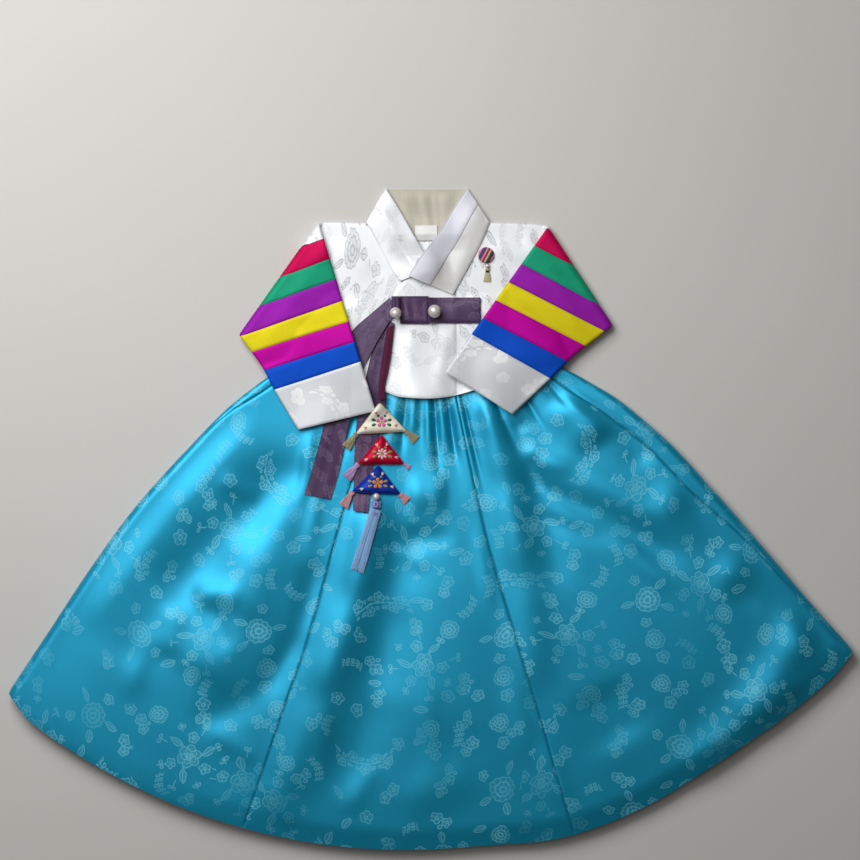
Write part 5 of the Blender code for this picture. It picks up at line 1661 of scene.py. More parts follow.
@dataclass
class Collar:
    """Neck lining, blank label, the two collar strips and their white trim with a fine piping."""

    piping: float = 0.55
    wall: float = 1.8
    under: Rows = (
        # share, outer x, outer y, inner x, inner y
        (0.0, -69.5, 325.0, -48.0, 363.0), (0.33, -57.0, 301.5, -27.6, 328.5),
        (0.66, -44.8, 277.5, -6.5, 293.0), (1.0, -32.7, 260.5, 5.0, 275.0),
    )
    over: Rows = (
        (0.0, 65.6, 324.8, 40.5, 363.0), (0.25, 60.0, 311.0, 26.2, 340.0), (0.5, 51.4, 292.5, 10.2, 314.0),
        (0.75, 40.0, 271.5, -6.3, 292.0), (1.0, 25.6, 245.8, -23.3, 266.4),
    )
    neck: Rows = (
        # share from top to bottom, left x, right x, y
        (0.0, -45.5, 38.5, 361.5), (0.35, -54.0, 48.0, 345.0), (0.7, -60.0, 55.5, 330.0),
        (1.0, -46.0, 42.0, 311.5),
    )
    folds: Rows = (
        # the lining's folds: x at fold_y, lean, half width, height
        (-3.0, 0.18, 7.0, 1.3), (17.0, 0.0, 9.0, 1.0), (-24.0, 0.0, 8.0, 0.9), (7.5, 0.1, 3.0, 0.4),
        (-13.0, 0.22, 4.0, 0.4), (30.0, -0.2, 5.0, 0.5),
    )
    fold_y: float = 330.0

    def build(
        self, lining: Material, brocade: Material, plain: Material,
        trim: Material, label: Material, thread: Material,
    ) -> None:
        """Makes the pieces from the bottom up.

        Args:
            lining: the neck lining's material, a cream darkened partly as painted shade.
            brocade: the under collar's.
            plain: the over collar's, a white satin greyed partly as painted shade.
            trim: the trim's and the piping's.
            label: the label's.
            thread: the label's stitches'.
        """
        self.build_lining(lining)
        self.build_label(label, thread)
        for rows, word, cloth, slot in (
            (self.under, "under", brocade, "white_brocade"), (self.over, "over", plain, "white_brocade"),
        ):
            across = edged(22, 44.0)
            shares = edged(64, 118.0)
            x, y = strip(rows, shares, across)
            place = LAID.rest(8)
            swell = 0.9 * np.sin(math.pi * across)[None, :] * ease(shares / 0.15)[:, None]
            mid = stacked(x, y, place(x, y) + 2 * REST + self.wall / 2 + swell)
            normal = grid_normals(mid)
            normal = normal * np.sign(normal[..., 2:])
            body = rolled(mid, normal, "lr", depth=0.5)
            cut = Cut(44, 122, Held.LAID, (f"jacket_half_{word}", "collar_back"), 5000)
            add_cloth(
                f"Collar_{word}", body, self.wall - 0.3, cloth, slot, [f"collar_{word}"], cut, normal, turn=-35
            )
            keep = across >= 0.52
            above = self.wall / 2 + REST + TRIM_WALL / 2
            band = rolled((mid + normal * above)[:, keep], normal[:, keep], "lr", depth=0.4, reach=0.9)
            cut = Cut(22, 122, Held.LAID, (f"collar_{word}",), 2500)
            add_cloth(
                f"Collar_trim_{word}", band, TRIM_WALL - 0.2, trim if word == "over" else cloth,
                "white_satin_trim", [f"collar_trim_{word}"], cut, normal[:, keep], turn=-35,
            )
            inner = (mid + normal * (above + 0.35))[2:-2, -2]
            heap = Heap()
            heap.add(*cord(inner, self.piping))
            heap.piece(f"Collar_piping_{word}", trim, "white_satin_trim")

    def build_lining(self, lining: Material) -> None:
        """Makes the inside of the neck with its soft upright folds.

        Args:
            lining: its material.
        """
        shares = edged(30, 50.0)
        edges = through(self.neck, shares)
        across = edged(60, 110.0)
        x = edges[:, :1] + (edges[:, 1:2] - edges[:, :1]) * across[None, :]
        y = np.broadcast_to(edges[:, 2:], x.shape)
        total = sum(
            height * np.exp(-(((x - at + lean * (y - self.fold_y)) / half) ** 2))
            for at, lean, half, height in self.folds
        )
        ground = LAID.rest(8)(x, y)
        z = ground + REST * ease(ground) + self.wall / 2 + total * ease((361.5 - y) / 12.0)
        cut = Cut(118, 55, Held.LAID, ("jacket_half_under", "jacket_half_over"), 5600)
        add_cloth("Neck_lining", stacked(x, y, z), 1.0, lining, "cream_satin", ["collar_back"], cut)

    def build_label(self, label: Material, thread: Material) -> None:
        """Makes the blank woven label and the stitches at its two ends.

        Args:
            label: its material.
            thread: the stitches' material.
        """
        place = LAID.rest(3)
        x = np.linspace(-16.0, 8.0, 26)[None, :] + np.zeros((18, 1))
        y = np.linspace(322.0, 305.5, 18)[:, None] + 0.02 * x
        z = place(x, y) + REST + TRIM_WALL / 2
        cut = Cut(24, 16.5, Held.LAID, ("collar_back",))
        add_cloth("Neck_label_blank", stacked(x, y, z), 0.6, label, "label_ribbon", ["neck_label"], cut)
        heap = Heap()
        for row in (1, -2):
            for k in range(1, 24, 2):
                ends = np.array([[x[row, k], y[row, k]], [x[row, k + 1], y[row, k + 1]]])
                along = ends[0] + (ends[1] - ends[0]) * np.linspace(0, 1, 5)[:, None]
                rise = 0.16 * np.sin(math.pi * np.linspace(0, 1, 5))
                heap.add(*cord(stacked(*along.T, place(*along.T) + REST + 0.78 + rise), 0.16, 5))
        heap.piece("Neck_label_stitches", thread, "label_ribbon")


# ---------------------------------------------------------------- ribbons


@dataclass
class Ribbons:
    """The tied ribbons with their crosswise bow, and the two pearls on it."""

    cloth: float = 0.7  # thickness of the ribbon as it shows
    slot: str = "plum_brocade"
    short: Rows = (
        # left x, y, right x, y, from the knot down
        (-43.5, 242.5, -37.5, 226.0), (-64.0, 225.0, -50.5, 206.0), (-84.0, 207.0, -63.0, 184.0),
        (-98.5, 183.0, -74.5, 161.0), (-108.5, 146.5, -82.0, 133.5), (-115.7, 105.0, -89.9, 99.3),
        (-127.0, 60.0, -98.5, 55.5), (-137.2, 26.7, -108.6, 21.2),
    )
    long: Rows = (
        (-52.0, 220.0, -38.5, 214.0), (-60.0, 196.0, -41.5, 185.0), (-66.5, 170.0, -44.8, 165.0),
        (-72.3, 143.5, -49.0, 141.0), (-75.5, 125.5, -48.5, 128.5), (-81.0, 97.0, -56.0, 95.0),
        (-83.0, 55.0, -62.5, 54.0), (-83.8, 9.1, -67.3, 6.9),
    )
    lining: Rows = (
        (-46.6, 210.0, -38.6, 212.0), (-51.0, 183.0, -42.3, 183.0), (-54.5, 160.0, -46.0, 160.0),
        (-56.0, 144.0, -49.4, 142.5), (-55.5, 130.0, -48.8, 130.5),
    )
    pearls: tuple[tuple[str, float, float, float], ...] = (
        ("left", -37.2, 224.7, 6.5),
        ("right", 5.2, 226.9, 7.4),
    )

    def laid(
        self, name: str, rows: Rows, finish: Material, slot: str, node: str, width: float,
        creases: Sequence[tuple[float, float, float]], wall: float = RIBBON_WALL,
    ) -> None:
        """Makes a ribbon that lies on what is under it.

        Args:
            name: the piece's name.
            rows: its left and right edge.
            finish: its material.
            slot: the record's material slot.
            node: the solid it stands for.
            width: the ribbon's width.
            creases: lengthwise creases, each a share across, a half width and a height.
            wall: the solid's thickness.
        """
        table = np.array(rows, float)
        keyed = np.column_stack([np.linspace(0, 1, len(table)), table])
        length = float(np.hypot(*np.diff(table[:, :2] + table[:, 2:], axis=0).T).sum() / 2)
        shares = np.linspace(0, 1, max(int(length / 2.0), 12))
        across = edged(16, width)
        x, y = strip([tuple(row) for row in keyed], shares, across)
        z = LAID.rest(8)(x, y) + REST + wall / 2
        for at, half, height in creases:
            z = z + height * np.exp(-(((across[None, :] - at) / half) ** 2))
        cut = Cut(width, length, Held.LAID, ("skirt_front_left", "jacket_half_under"))
        add_cloth(name, stacked(x, y, z), self.cloth, finish, slot, [node], cut)

    def loop(
        self, name: str, node: str, left: float, right: float, low: float, high: float, height: float,
        finish: Material, waves: Rows,
    ) -> None:
        """Makes a flat loop of ribbon, folded at its right end.

        Args:
            name: the piece's name.
            node: the solid it stands for.
            left: x of its left end.
            right: x of its folded end.
            low: y of its lower edge.
            high: y of its upper edge.
            height: its full thickness.
            finish: its material.
            waves: ridges of its upper side.
        """
        inner = (height - self.cloth) / 2
        back = np.linspace(left, right - inner, 24)
        turn = np.radians(np.linspace(-90, 90, 9)[1:-1])
        x = np.concatenate([back, right - inner + inner * np.cos(turn), back[::-1]])
        z = np.concatenate([np.zeros(24), inner + inner * np.sin(turn), np.full(24, 2 * inner)])
        y = edged(20, high - low) * (low - high) + high
        gx, gz, gy = x[None, :] + 0 * y[:, None], z[None, :] + 0 * y[:, None], y[:, None] + 0 * x[None, :]
        share = gz / (2 * inner)
        near = np.minimum(high - gy, gy - low)
        gz = gz * (0.45 + 0.55 * ease(near / 3.5)) + ridges(gx, gy, waves) * share
        floor = LAID.rest(4)(gx, gy) + REST + self.cloth / 2
        cut = Cut(2.1 * (right - left), high - low, Held.FOLDED, ("jacket_overlap", "jacket_half_under"))
        mid = stacked(gx, gy, floor + gz)
        add_cloth(name, mid, self.cloth, finish, self.slot, [node], cut)

    def build(self, plum: Material, wine: Material, pearl: Material) -> None:
        """Makes the ribbons, the bow, its knot and the pearls.

        Args:
            plum: the ribbons' material.
            wine: the long ribbon's lining.
            pearl: the pearls' material.
        """
        self.laid(
            "Ribbon_long", self.long, plum, self.slot, "ribbon_long", 24,
            ((0.25, 0.12, 0.35), (0.7, 0.10, 0.3)),
        )
        self.laid(
            "Ribbon_long_lining", self.lining, wine, "wine_satin", "ribbon_long_lining", 11,
            ((0.5, 0.2, 0.3),), TRIM_WALL,
        )
        self.laid(
            "Ribbon_short", self.short, plum, self.slot, "ribbon_short", 30,
            ((0.22, 0.12, 0.3), (0.72, 0.14, 0.35)),
        )
        self.loop(
            "Bow_loop_near", "bow_near", -32.4, -1.6, 213.6, 243.9, 3.8, plum,
            ((-26, 240, -22, 216, 3.5, 0.7), (-14, 242, -12, 218, 4.5, 0.5), (-5, 238, -4, 216, 3, 0.6)),
        )
        self.loop(
            "Bow_loop_far", "bow_far", -1.3, 55.5, 214.2, 242.4, 2.6, plum,
            ((6, 240, 12, 218, 5, 0.5), (26, 241, 30, 216, 6, 0.4), (46, 240, 48, 217, 5, 0.3)),
        )
        self.build_knot(plum)
        for word, x, y, radius in self.pearls:
            add_pearl(f"Pearl_{word}", x, y, radius, f"pearl_{word}", pearl, LAID.rest(2))

    def build_knot(self, plum: Material) -> None:
        """Makes the upright pleats of the knot.

        Args:
            plum: its material.
        """
        y = np.linspace(243.6, 222.5, 30)[:, None]
        x = np.linspace(-41.8, -32.7, 34)[None, :]
        u, v = (x + 37.25) / 4.55, (y - 233.05) / 10.55
        swell = np.sqrt(np.clip((1 - u**4) * (1 - v**6), 0, 1))
        pleat = 0.9 * np.abs(np.sin((u + 0.06 * np.sin(3 * v)) * 4.1)) - 0.4
        z = LAID.rest(3)(x + 0 * y, y + 0 * x) + REST + 0.4 + 3.9 * swell + pleat * swell
        mid = stacked(x, y, z)
        cut = Cut(24, 21.1, Held.FOLDED, ("jacket_overlap", "ribbon_long"), 270)
        add_cloth("Bow_knot", mid, 0.6, plum, self.slot, ["bow_knot"], cut)


def ball(x: float, y: float, z: float, radius: float, steps: int = 28) -> tuple[Array, Faces, Array]:
    """A ball that is cut flat below.

    Args:
        x: x of its middle.
        y: y of its middle.
        z: height of its middle.
        radius: its radius.
        steps: how many sides it has.

    Returns:
        Its points, its faces and the points' places on its surface.
    """
    level = np.linspace(math.asin(-BALL_CUT), math.pi / 2 - 0.06, steps // 2)
    turn = np.arange(steps) * 2 * math.pi / steps
    ring = np.cos(level)[:, None, None] * np.stack([np.cos(turn), np.sin(turn), 0 * turn], -1)[None]
    ring[..., 2] = np.sin(level)[:, None]
    points = np.array([x, y, z]) + radius * ring.reshape(-1, 3)
    place = np.stack(np.broadcast_arrays(turn[None, :] * radius, level[:, None] * radius), -1).reshape(-1, 2)
    return points, ring_faces(len(points), steps, flip=True), place


def add_pearl(
    name: str, x: float, y: float, radius: float, node: str, finish: Material, rest: Height
) -> None:
    """Makes a pearl that sits on what is under it.

    Args:
        name: the piece's name.
        x: x of its middle.
        y: y of its middle.
        radius: its radius.
        node: the solid it stands for.
        finish: its material.
        rest: height of what it lies on.
    """
    heap = Heap()
    seat = float(rest(x, y)) + REST
    heap.add(*ball(x, y, seat + BALL_CUT * radius, radius))
    heap.piece(name, finish, "pearl", [node])


# ---------------------------------------------------------------- charms, tassels and pin


@dataclass
class Tassel:
    """A bound head with loose silk threads, laid on what is under it."""

    name: str
    node: str
    root: tuple[float, float]
    heading: float
    length: float
    width: float
    depth: float
    threads: int
    flare: float
    slot: str = "olive_silk_tassel"
    seed: int = 1

    def build(self, silk: Material, binding: Material, rest: Height) -> None:
        """Makes the threads as one piece and the binding as another.

        Args:
            silk: the threads' material.
            binding: the binding's.
            rest: height of what it lies on.
        """
        random = np.random.default_rng(self.seed)
        head = min(0.28 * self.length, 7.0)
        cos, sin = toward(self.heading)

        def place(local: Array) -> Array:
            """Moves points from the tassel's own place to the garment."""
            x = self.root[0] + local[:, 0] * cos - local[:, 1] * sin
            y = self.root[1] + local[:, 0] * sin + local[:, 1] * cos
            return stacked(x, y, rest(x, y) + REST + local[:, 2])

        heap = Heap()
        for k in range(self.threads):
            side = (2 * (k + 0.5) / self.threads - 1) * 0.5 + random.normal(0, 0.02)
            up = random.uniform(0.12, 0.95)
            t = np.linspace(0, 1, 9)
            reach = (self.length - 0.4) * (1.0 - 0.07 * random.random())
            neck = 0.55 + 0.45 * ease(np.abs(t * reach - 0.72 * head) / (0.3 * head))
            wide = np.where(t * reach < head, neck, 1.0 + self.flare * 2 * (t - head / reach))
            wave = 0.35 * np.sin(5 * t + random.uniform(0, 6)) * t
            across = side * self.width * wide + wave
            lift = up * self.depth * (1 - 0.55 * t) * np.sqrt(np.clip(1 - (1.9 * side) ** 2, 0.05, 1)) + 0.25
            path = place(np.stack([t * reach, across, lift], -1))
            points, faces, spots = cord(path, 0.34 * (1 - 0.35 * t), 4)
            heap.add(points, faces, spots + (9.0 * k, 0.0))
        heap.piece(self.name, silk, self.slot, [self.node])

        heap = Heap()
        for k in range(4):
            at = (0.50 + 0.14 * k) * head
            lap = np.linspace(0, 2 * math.pi, 22)
            wide = self.width * 0.5 * (0.62 + 0.06 * abs(k - 1.5))
            local = np.stack([np.full(22, at), wide * np.cos(lap), self.depth * 0.46 * (1 + np.sin(lap))], -1)
            heap.add(*cord(place(local), 0.42, 5))
        heap.piece(f"{self.name}_binding", binding, self.slot)


def toward(heading: float) -> Array:
    """The plan direction of a heading in degrees."""
    return np.array([math.cos(math.radians(heading)), math.sin(math.radians(heading))])


def rounding(corner: Array, k: int) -> tuple[Array, Array, Array]:
    """Start, corner and end of the curve that rounds one corner of a triangle.

    Args:
        corner: the triangle's corners.
        k: which one.

    Returns:
        The three points.
    """
    here = corner[k]
    return (
        here + (corner[(k + 2) % 3] - here) * CORNER_ROUND, here,
        here + (corner[(k + 1) % 3] - here) * CORNER_ROUND,
    )


@dataclass
class Charm:
    """A padded triangle of satin, stitched with a flower, two leaves and four small buds."""

    name: str
    node: str
    slot: str
    corners: Array
    petals: int
    height: float = 7.2
    leaves: Rows = ((166, 11.4), (200, 11.4), (14, 11.4), (-20, 11.4), (62, 9.0), (118, 9.0))  # heading, reach
    buds: Rows = ((-5.0, 7.6, 112), (4.2, 8.4, 62), (-15.5, -5.4, 205), (13.5, -3.4, -12))  # x, y, heading

    def outline(self) -> Array:
        """The triangle's edge with softly rounded corners.

        Returns:
            Points round the edge.
        """
        found = []
        for k in range(3):
            first, here, last = rounding(self.corners, k)
            t = np.linspace(0, 1, 5)[:, None]
            found.append((1 - t) ** 2 * first + 2 * t * (1 - t) * here + t**2 * last)
            following = rounding(self.corners, (k + 1) % 3)[0]
            found.append(last + (following - last) * np.linspace(0, 1, 22)[1:-1, None])
        return np.concatenate(found)

    def top(self, x: Array, y: Array) -> Array:
        """Height of the padding above its seat.

        Args:
            x: places across.
            y: places up.

        Returns:
            The height at each place.
        """
        corner = self.corners
        basis = np.array([corner[1] - corner[0], corner[2] - corner[0]]).T
        found = np.linalg.inv(basis) @ np.stack([np.ravel(x) - corner[0, 0], np.ravel(y) - corner[0, 1]])
        weights = np.stack([1 - found[0] - found[1], found[0], found[1]])
        edge = (np.clip(1 - 3 * weights, 0, None) ** 7).sum(0) ** (1 / 7)
        rise = 0.2 + 0.8 * np.clip(1 - edge**3.2, 0, 1) ** 0.55
        return (self.height * rise).reshape(np.shape(x))

    def build(
        self, satin: Material, edge: Material, threads: dict[str, Material],
        flower: str, buds: str, leaf: str, rest: Height,
    ) -> None:
        """Makes the pad, its edge cord and its stitched flower.

        Args:
            satin: the pad's material.
            edge: the edge cord's material.
            threads: the thread of each colour.
            flower: the petals' thread.
            buds: the buds' thread.
            leaf: the leaves' thread.
            rest: height of what it lies on.
        """

        def on_top(x: Array, y: Array) -> Array:
            """Height of the pad's surface."""
            return rest(x, y) + REST + self.top(x, y)

        outline = self.outline()
        centre = self.corners.mean(axis=0)
        shares = np.array([1.0, 0.985, 0.95, 0.9, 0.83, 0.75, 0.66, 0.56, 0.46, 0.36, 0.26, 0.16, 0.06])
        plan = centre + (outline - centre)[None] * shares[:, None, None]
        x, y = np.moveaxis(plan, -1, 0)
        unders = stacked(x, y, rest(x, y) + REST + 0.3 * (1 - shares[:, None]))
        points = np.concatenate([unders[:0:-1], stacked(x, y, on_top(x, y))]).reshape(-1, 3)
        turning = np.cross(outline[1] - outline[0], outline[len(outline) // 3] - outline[1])
        faces = ring_faces(len(points), len(outline), flip=bool(turning >= 0))
        add_piece(self.name, points, faces, satin, self.slot, [self.node], points[:, :2], sharp=70)

        heap = Heap()
        inset = centre + (outline - centre) * 0.985
        x, y = np.concatenate([inset, inset[:2]]).T
        heap.add(*cord(stacked(x, y, on_top(x, y) + 0.1), 0.5, 6))
        heap.piece(f"{self.name}_edge_cord", edge, self.slot)

        middle = centre + (1.0, 0.6)
        stitches = {
            # each petal: its middle, heading, start, end and width
            "petals": (flower, [
                (middle, 360 / self.petals * k + 90, 1.4, 6.2, 18.5 / self.petals + 0.3)
                for k in range(self.petals)
            ]),
            "heart": ("gold", [
                (middle + 0.9 * toward(60 * k), 60 * k, -0.4, 0.9, 1.0) for k in range(6)
            ] + [(middle, 0, -0.7, 0.8, 1.3)]),
            "leaves": (leaf, [(middle, heading, 6.2, reach, 3.0) for heading, reach in self.leaves]),
            "buds": (buds, [
                (middle + (dx, dy), heading + bend, 0.0, 4.4, 1.5)
                for dx, dy, heading in self.buds for bend in (-16, 16)
            ]),
        }
        for word, (thread, petals) in stitches.items():
            heap = Heap()
            for petal in petals:
                stitch_petal(heap, *petal, on_top)
            heap.piece(f"{self.name}_{word}", threads[thread], self.slot)


def stitch_petal(
    heap: Heap, middle: Array, heading: float, begin: float, end: float, width: float, on_top: Height
) -> None:
    """Adds one satin-stitched petal: a low dome of threads.

    Args:
        heap: the meshes that it joins.
        middle: the flower's middle.
        heading: the petal's direction in degrees.
        begin: where it starts, from the middle.
        end: where it ends.
        width: its greatest width.
        on_top: height of the cloth that it is stitched to.
    """
    along = toward(heading)
    aside = np.array([-along[1], along[0]])
    u = np.linspace(-1, 1, 13)[:, None]
    v = np.linspace(-1, 1, 9)[None, :]
    half = width / 2 * np.sqrt(np.clip(1 - u**2, 0, 1)) * (1 + 0.25 * u)
    way = (begin + end) / 2 + u * (end - begin) / 2
    plan = middle + along * way[..., None] + aside * (half * v)[..., None]
    x, y = np.moveaxis(plan, -1, 0)
    base = on_top(x, y)
    dome = np.sqrt(np.clip((1 - u**2) * (1 - v**2), 0, 1))
    points, faces = shell(stacked(x, y, base + (0.1 + 0.75 * dome)), stacked(x, y, base - 0.25))
    place = np.stack([half * v, (u + 0 * v) * (end - begin) / 2], -1).reshape(-1, 2)
    heap.add(points, faces, np.concatenate([place, place]))


@dataclass
class Charms:
    """Three padded triangles, their corner tassels, and the pearl, knot and long tassel below."""

    places: tuple[tuple, ...] = (
        # name, corners: top x, y, left x, y, right x, y, petals, flower, buds, leaves
        ("cream", (-54.7, 127.4, -81.1, 92.9, -25.2, 95.6), 5, "pink", "salmon", "leaf_green"),
        ("red", (-52.5, 92.0, -78.9, 59.7, -27.2, 59.7), 8, "pale_pink", "pale_pink", "olive"),
        ("blue", (-55.8, 58.6, -85.5, 29.8, -31.6, 26.7), 5, "orange", "cream", "olive"),
    )
    tassels: tuple[tuple, ...] = (
        # name, charm, corner, direction, length, colour of the thread, which also names the slot
        ("cream_left", "cream", 1, 234, 20, "olive"), ("cream_right", "cream", 2, 318, 16, "olive"),
        ("lilac_left", "red", 1, 229, 21, "lilac"), ("lilac_right", "red", 2, 322, 8, "lilac"),
        ("rose_left", "blue", 1, 238, 20, "rose"), ("rose_right", "blue", 2, 318, 12, "rose"),
    )
    pearl: tuple[float, float, float] = (-58.4, 24.1, 4.2)  # x, y, radius
    knot: tuple[float, float] = (-58.6, 15.7)
    knot_loops: Rows = (
        # each loop of the knot: x and y from its middle, half width, half length, height
        (-2.6, 1.6, 2.2, 1.7, 1.4), (2.6, 1.6, 2.2, 1.7, 1.4), (-2.4, -1.8, 2.0, 1.6, 1.4),
        (2.4, -1.8, 2.0, 1.6, 1.4), (0.0, 0.0, 3.0, 2.6, 2.8), (0.0, 0.0, 1.5, 3.4, 3.6),
    )
    long_tassel: tuple[float, float] = (-58.6, 10.4)

    def build(self, satins: dict[str, Material], threads: dict[str, Material], pearl: Material) -> None:
        """Makes everything that hangs from the ribbon.

        Args:
            satins: the triangles' materials.
            threads: the thread of each colour.
            pearl: the pearl's material.
        """
        under = LAID.rest(4)
        held = {}
        for name, corners, petals, flower, buds, leaf in self.places:
            held[name] = np.array(corners, float).reshape(3, 2)
            charm = Charm(f"Charm_{name}", f"charm_{name}", f"{name}_charm_satin", held[name], petals)
            charm.build(satins[name], threads[f"{name}_edge"], threads, flower, buds, leaf, under)
        for k, (name, charm, corner, heading, length, colour) in enumerate(self.tassels):
            first, here, last = rounding(held[charm], corner)
            root = 0.25 * first + 0.5 * here + 0.25 * last + toward(heading) * SEAM
            small = length < 12
            Tassel(
                f"Tassel_{name}", f"tassel_{name}", tuple(root), heading, length, 3.4 if small else 5.8, 2.6,
                40 if small else 64, 0.62, f"{colour}_silk_tassel", 10 + k,
            ).build(threads[f"{colour}_silk"], threads[f"{colour}_silk"], under)
        add_pearl("Charm_pearl", *self.pearl, "charm_pearl", pearl, under)
        self.build_knot(threads["lilac_cord"], under)
        Tassel(
            "Tassel_long", "tassel_long", self.long_tassel, 253.0, 71.5, 11.5, 4.2, 170, 0.16,
            "pale_blue_silk_tassel", 5,
        ).build(threads["pale_blue_silk"], threads["lilac_cord"], under)

    def build_knot(self, thread: Material, under: Height) -> None:
        """Makes the small knot of doubled cord with its side loops.

        Args:
            thread: its material.
            under: height of what it lies on.
        """
        heap = Heap()
        turn = np.linspace(0, 2 * math.pi, 40)
        for dx, dy, wide, tall, high in self.knot_loops:
            x, y = self.knot[0] + dx + wide * np.cos(turn), self.knot[1] + dy + tall * np.sin(turn)
            z = under(x, y) + REST + high + 0.5 * np.sin(2 * turn)
            heap.add(*cord(stacked(x, y, z), 0.95, 8))
        heap.piece("Charm_knot", thread, "lilac_cord_knot", ["charm_knot"])


@dataclass
class Pin:
    """The round striped pin on the chest with its bead and tassel."""

    x: float = 62.0
    y: float = 289.0
    radius: float = 8.8
    height: float = 3.2
    slant: float = 62.0  # heading of the stripes
    profile: Rows = (
        # share of the radius, share of the height
        (0.90, 0.0), (0.97, 0.12), (1.0, 0.35), (0.99, 0.55), (0.95, 0.74), (0.87, 0.87), (0.72, 0.96),
        (0.5, 1.02), (0.3, 1.06), (0.12, 1.08),
    )
    steps: int = 48
    bead: tuple[float, float, float] = (63.2, 277.2, 2.6)  # x, y, radius
    tassel: tuple[float, float] = (63.4, 274.1)

    def build(self, striped: Material, threads: dict[str, Material], pearl: Material) -> None:
        """Makes the cloth-covered button, the bead and the tassel.

        Args:
            striped: the button's material.
            threads: the thread of each colour.
            pearl: the bead's material.
        """
        under = LAID.rest(4)
        seat = float(under(self.x, self.y)) + REST
        profile = np.array(self.profile)
        turn = np.arange(self.steps) * math.tau / self.steps
        ring = np.stack([np.cos(turn), np.sin(turn)], -1)
        plan = np.array([self.x, self.y]) + self.radius * profile[:, None, :1] * ring[None]
        points = stacked(plan[..., 0], plan[..., 1], seat + self.height * profile[:, 1:]).reshape(-1, 3)
        faces = ring_faces(len(points), self.steps, flip=True)
        lean = toward(self.slant)
        offset = points[:, :2] - (self.x, self.y)
        place = np.stack([offset @ (lean[1], -lean[0]), offset @ lean], -1)
        add_piece("Pin_button", points, faces, striped, "wine_satin", ["pin_disc"], place)
        heap = Heap()
        x, y, radius = self.bead
        heap.add(*ball(x, y, float(LAID.rest(2)(x, y)) + REST + 2.3, radius, 18))
        heap.piece("Pin_bead", pearl, "pearl", ["pin_bead"])
        Tassel(
            "Pin_tassel", "pin_tassel", self.tassel, 269.0, 15.0, 5.0, 2.6, 60, 0.5, "olive_silk_tassel", 31
        ).build(threads["ivory_silk"], threads["black"], under)


# ---------------------------------------------------------------- studio


@dataclass
class Studio:
    """Camera straight above, plain pale floor and soft light from the upper left."""

    height: float = 3.5
    view_x: float = -0.00085
    view_y: float = 0.0970
    half_width: float = 0.473
    key: float = 19.5
    fill: float = 46.0
    floor_half: float = 5.0
    floor_z: float = -0.0004

    def build(self) -> None:
        """Makes the camera, the floor and the lights."""
        scene = bpy.context.scene
        lens = bpy.data.cameras.new("Camera")
        lens.sensor_width = 36.0
        lens.lens = 18.0 * self.height / self.half_width
        lens.clip_end = 50.0
        camera = bpy.data.objects.new("Camera", lens)
        camera.location = (self.view_x, self.view_y, self.height)
        scene.collection.objects.link(camera)
        scene.camera = camera
        mesh = bpy.data.meshes.new("Floor")
        corners = [(i * self.floor_half, j * self.floor_half) for i, j in ((-1, -1), (1, -1), (1, 1), (-1, 1))]
        mesh.from_pydata([(x, y, self.floor_z) for x, y in corners], [], [(0, 1, 2, 3)])
        mesh.materials.append(self.paper())
        floor = bpy.data.objects.new("Floor", mesh)
        scene.collection.objects.link(floor)
        self.light("Key", (-0.62, 0.84, 1.16), 1.0, self.key)
        self.light("Overhead", (-1.1, 1.3, 4.2), 3.6, self.fill)
        world = bpy.data.worlds.new("Studio")
        scene.world = world
        world.use_nodes = True
        sky = world.node_tree.nodes["Background"]
        sky.inputs["Color"].default_value = linear("F2E8D8")
        sky.inputs["Strength"].default_value = 0.07
        scene.view_settings.view_transform = "Standard"

    def light(self, name: str, place: tuple[float, float, float], size: float, power: float) -> None:
        """Adds a square soft light that faces the garment.

        Args:
            name: its name.
            place: where it stands.
            size: its side.
            power: its watts.
        """
        lamp = bpy.data.lights.new(name, "AREA")
        lamp.size = size
        lamp.energy = power
        lamp.color = (1.0, 1.0, 0.995)
        thing = bpy.data.objects.new(name, lamp)
        thing.location = place
        aim = np.array([0.0, 0.05, 0.0]) - place
        thing.rotation_euler = (
            math.atan2(math.hypot(aim[0], aim[1]), -aim[2]), 0.0, math.atan2(aim[1], aim[0]) - math.pi / 2
        )
        bpy.context.scene.collection.objects.link(thing)

    def paper(self) -> Material:
        """Plain matt backdrop paper, very slightly uneven.

        Returns:
            The material.
        """
        material, tree, surface = start("Matt backdrop paper")
        place = add_node(tree, "ShaderNodeTexCoord").outputs["Object"]
        grain = add_node(tree, "ShaderNodeTexNoise", {"Vector": place, "Scale": 3.0, "Detail": 4.0})
        shade = Wire(tree, grain.outputs[0])
        fine = add_node(tree, "ShaderNodeTexNoise", {"Vector": place, "Scale": 900.0})
        feed(surface, {
            "Base Color": blend(tree, shade, linear("C8C6C2"), linear("CECCC9")),
            "Roughness": 0.85,
            "Normal": pressed(tree, Wire(tree, fine.outputs[0]), 0.1, 0.2),
        })
        return material


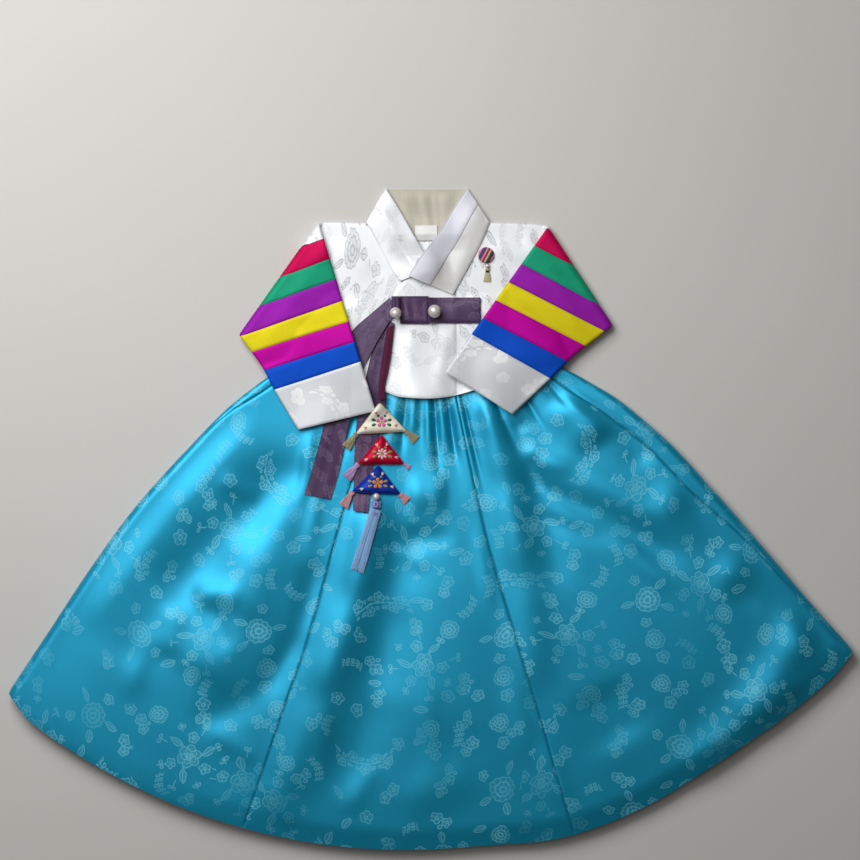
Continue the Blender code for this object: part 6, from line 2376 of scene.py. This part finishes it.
def all_threads() -> dict[str, Material]:
    """Every thread of the garment, by what it is for.

    Returns:
        A material for each word.
    """
    colours = {
        "gold": ("Gold rayon thread", "E2C25A", "B98F2E"),
        "pink": ("Pink rayon thread", "E987BE", "CF4F98"),
        "salmon": ("Salmon rayon thread", "E9A49A", "D07C72"),
        "pale_pink": ("Pale pink rayon thread", "F0D3DC", "D99DB0"),
        "orange": ("Orange rayon thread", "E39A5E", "C4703A"),
        "cream": ("Cream rayon thread", "EFE8D2", "D2C49C"),
        "leaf_green": ("Green rayon thread", "2F7A4E", "1C5236"),
        "olive": ("Olive rayon thread", "A6A367", "7C7B46"),
        "black": ("Black rayon thread", "2A2A2C", "141416"),
        "cream_edge": ("Cream edge cord", "D9D3B4", "B9B08A"),
        "red_edge": ("Red edge cord", "C01038", "8E0A28"),
        "blue_edge": ("Blue edge cord", "1C3FB4", "122A80"),
        "olive_silk": ("Olive silk tassel thread", "BDB999", "8A8666"),
        "lilac_silk": ("Lilac silk tassel thread", "D6B4DE", "AA86B8"),
        "rose_silk": ("Rose silk tassel thread", "E4B2B8", "C0868E"),
        "pale_blue_silk": ("Pale blue silk tassel thread", "A6CCF0", "84AEDC"),
        "ivory_silk": ("Ivory silk tassel thread", "DAD7B8", "B4AF88"),
        "lilac_cord": ("Lilac knotting cord", "A6A6DC", "7776B8"),
    }
    return {key: Thread(name, colour, deep).material() for key, (name, colour, deep) in colours.items()}


def main() -> None:
    """Builds the garment from the floor up."""
    turquoise = Brocade("Turquoise jacquard satin", "17A4CC", "0F94BC", "7CDAF0").material()
    white_cloth = Brocade(
        "White jacquard satin", "F0F3F7", "E6E9ED", "969AA2",
        gloss=0.52, metallic=0.25, outline=0.9, area=0.22, shine=0.5,
    )
    white = white_cloth.material()
    cuffs = replace(
        white_cloth, name="White jacquard satin of the cuffs", ground="CED1D6", deep="C4C7CC", figure="FFFFFF",
        outline=0.85, area=0.6,
    ).material()
    plum = Brocade(
        "Plum jacquard satin", "523A5E", "422E4E", "8E7C96",
        gloss=0.42, metallic=0.1, outline=0.7, area=0.2, shine=0.2, clear=24.0,
        large=Scatter(cell=70.0, jitter=0.8, shift=11.0), small=Scatter(cell=19.0, jitter=0.8, shift=57.0),
    ).material()
    satins = {
        word: Satin(f"{word.capitalize()} satin", colour, deep).material()
        for word, colour, deep in (
            ("red", "CE0858", "B40648"), ("green", "1EA27C", "148E68"), ("purple", "9C20AE", "881898"),
            ("yellow", "E0D420", "CEBE10"), ("magenta", "C402A2", "AC008C"), ("blue", "0A52CC", "0744B0"),
        )
    }
    # The neck lining is cream, darkened partly as painted shade inside the neck.
    cream = Satin("Cream satin darkened with painted shade", "C6C2B5", "ACA899").material()
    # The over collar's white satin is greyed partly as painted shade, the shadow that falls over the collar.
    plain = Satin("White satin greyed with painted shade", "DADADA", "C8C8C8").material()
    trim = Satin("Lilac-white satin trim", "DCDCE4", "CACAD6").material()
    label = Satin("White woven label ribbon", "F0F0F0", "DCDCDC", gloss=0.6).material()
    wine = Satin("Wine satin", "5C2440", "40182C").material()
    cotton = Satin("White cotton band", "E4E3DF", "CFCDC8", gloss=0.8, metallic=0.0).material()
    charm_satins = {
        "cream": Satin("Cream charm satin", "FAF6E8", "E6E0CC", gloss=0.5, metallic=0.0).material(),
        "red": Satin("Red charm satin", "C81038", "9C0828", gloss=0.45).material(),
        "blue": Satin("Blue charm satin", "1E3CB0", "142A86", gloss=0.45).material(),
    }
    threads = all_threads()
    pearl = Pearl().material()

    left = Sleeve(-1, (-121.8, 327.0), (-208.7, 203.8), (63.3, -209.0), LEFT_STRIPES)
    right = Sleeve(1, (130.1, 321.5), (203.6, 209.1), (-0.579, -0.815), RIGHT_STRIPES)
    Skirt().build(turquoise, cotton)
    Jacket(left, right).build(white)
    Collar().build(cream, white, plain, trim, label, threads["cream"])
    Ribbons().build(plum, wine, pearl)
    Pin().build(Striped().material(), threads, pearl)
    left.build(satins, cuffs)
    right.build(satins, cuffs)
    Charms().build(charm_satins, threads, pearl)
    Studio().build()


if __name__ == "__main__":
    logging.basicConfig(level=logging.INFO, format="%(message)s")
    main()
